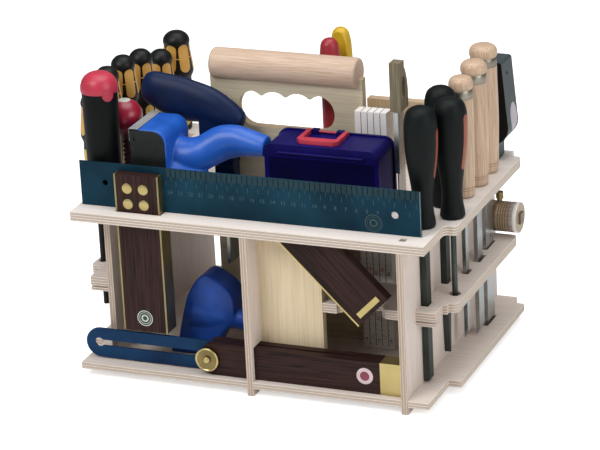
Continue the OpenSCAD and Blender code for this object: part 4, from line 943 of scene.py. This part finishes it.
def knife_dress():
    """A plain oval let into the knife's right side, on its slanting face."""
    tree = surface_of("block_knife")
    sides = 40
    (y, z), (half_wide, half_high) = (116, 202.5), (9, 13.8)
    clear_of_face = 0.2  # metres to the right, where each ray starts
    rows = []
    for share in (1.0, 0.85, 0.5, 0.02):
        lift = 0.25 if share < 0.9 else 0.02
        row = []
        for k in range(sides):
            c, s = round_about(k, sides)
            away, up = (y + half_wide * share * c) * MM, (z + half_high * share * s) * MM
            start = Vector((clear_of_face, away, up))
            found, normal, _, _ = tree.ray_cast(start, Vector((-1, 0, 0)))
            row.append((found / MM + normal * lift)[:])
        rows.append(row)
    points, faces = net(rows, closed=True)
    faces.append(list(range(len(points) - sides, len(points))))
    piece("knife_oval", points, faces, badge_mauve, "knife", "block_knife")


shaver_form()
shaver_dress()
scraper_form()
bay_plane_form()
case_dress()
awl_dress()
gauge_dress()
knife_dress()


# ------------------------------------ floor and light


def whitened(tree, shader):
    """Shows plain white to the camera and through glass, and a shader to everything else."""
    path = add(tree, "LightPath")
    rays = [path.outputs["Is Camera Ray"], path.outputs["Is Transmission Ray"]]
    seen = maths(tree, "MAXIMUM", *rays)
    white = add(tree, "Background", {"Color": (1, 1, 1, 1), "Strength": 1.0})
    return add(tree, "MixShader", {0: seen, 1: shader, 2: white}).outputs[0]


def studio_world(strength):
    """An even pale world that lights gently and shows as white."""
    world = bpy.data.worlds.new("soft_white_studio")
    bpy.context.scene.world = world
    world.use_nodes = True
    sky = world.node_tree
    glow = sky.nodes["Background"]
    glow.inputs["Color"].default_value = (1, 1, 1, 1)
    glow.inputs["Strength"].default_value = strength
    shown = whitened(sky, glow.outputs[0])
    sky.links.new(shown, sky.nodes["World Output"].inputs["Surface"])


def studio_floor(camera_glow):
    """A wide matt white floor that takes shadows, brightened for the camera alone."""
    mesh = bpy.data.meshes.new("floor")
    mesh.from_pydata([(-6, -4, 0), (6, -4, 0), (6, 8, 0), (-6, 8, 0)], [], [(0, 1, 2, 3)])
    floor = bpy.data.objects.new("floor", mesh)
    bpy.context.scene.collection.objects.link(floor)
    # emulsion paint on a smooth floor: white and quite matt
    paint, tree, surface = coloured("matt_white_floor_paint", Roughness=0.9)
    tone = speckle(tree, (300, 300, 300), detail=2)
    finish_with(tree, surface, blend(tree, tone, "#ffffff", "#fbfbfb"), tone, 0.01)
    seen = add(tree, "LightPath").outputs["Is Camera Ray"]
    glow = maths(tree, "MULTIPLY", seen, camera_glow)
    surface.inputs["Emission Color"].default_value = (1, 1, 1, 1)
    tree.links.new(glow.outputs[0], surface.inputs["Emission Strength"])
    mesh.materials.append(paint)


def soft_light(name, place, aim, width, power):
    """A large square lamp that points at a spot."""
    lamp = bpy.data.lights.new(name, "AREA")
    lamp.shape, lamp.size, lamp.size_y, lamp.energy = "RECTANGLE", width, width, power
    holder = bpy.data.objects.new(name, lamp)
    holder.location = place
    holder.rotation_euler = (Vector(aim) - Vector(place)).to_track_quat("-Z", "Y").to_euler()
    bpy.context.scene.collection.objects.link(holder)


studio_world(strength=0.15)
studio_floor(camera_glow=0.5)
# each lamp: its name, place, aim, width in metres and power in watts
soft_light("front_left_softbox", (-0.7, -1.5, 1.7), (0, 0, 0.12), 1.0, 25.5)
soft_light("top_softbox", (0.15, 0.1, 1.9), (0, 0, 0.1), 1.5, 25)
soft_light("right_fill", (1.8, -0.7, 0.9), (0, 0, 0.12), 1.1, 14)


# ------------------------------------ camera

CAMERA_PLACE = (0.99627, -2.37076, 1.10639)
CAMERA_TURNS = (22.75, 21.0, -2.87)  # azimuth, elevation and roll in degrees
FOCAL_LENGTH, FILM_WIDTH = 177.07, 36


def aimed_camera():
    """The camera, turned by its azimuth, elevation and roll."""
    azimuth, elevation, roll = (math.radians(a) for a in CAMERA_TURNS)
    flat = math.cos(elevation)
    back = Vector((math.sin(azimuth) * flat, -math.cos(azimuth) * flat, math.sin(elevation)))
    level = Vector((math.cos(azimuth), math.sin(azimuth), 0))
    upward = back.cross(level)
    right = math.cos(roll) * level + math.sin(roll) * upward
    above = -math.sin(roll) * level + math.cos(roll) * upward
    lens = bpy.data.cameras.new("camera")
    lens.lens, lens.sensor_width, lens.clip_end = FOCAL_LENGTH, FILM_WIDTH, 30
    camera = bpy.data.objects.new("camera", lens)
    turned = Matrix((right, above, back)).transposed().to_4x4()
    camera.matrix_world = Matrix.Translation(CAMERA_PLACE) @ turned
    bpy.context.scene.collection.objects.link(camera)
    bpy.context.scene.camera = camera


aimed_camera()
bpy.context.scene.view_settings.view_transform = "Standard"
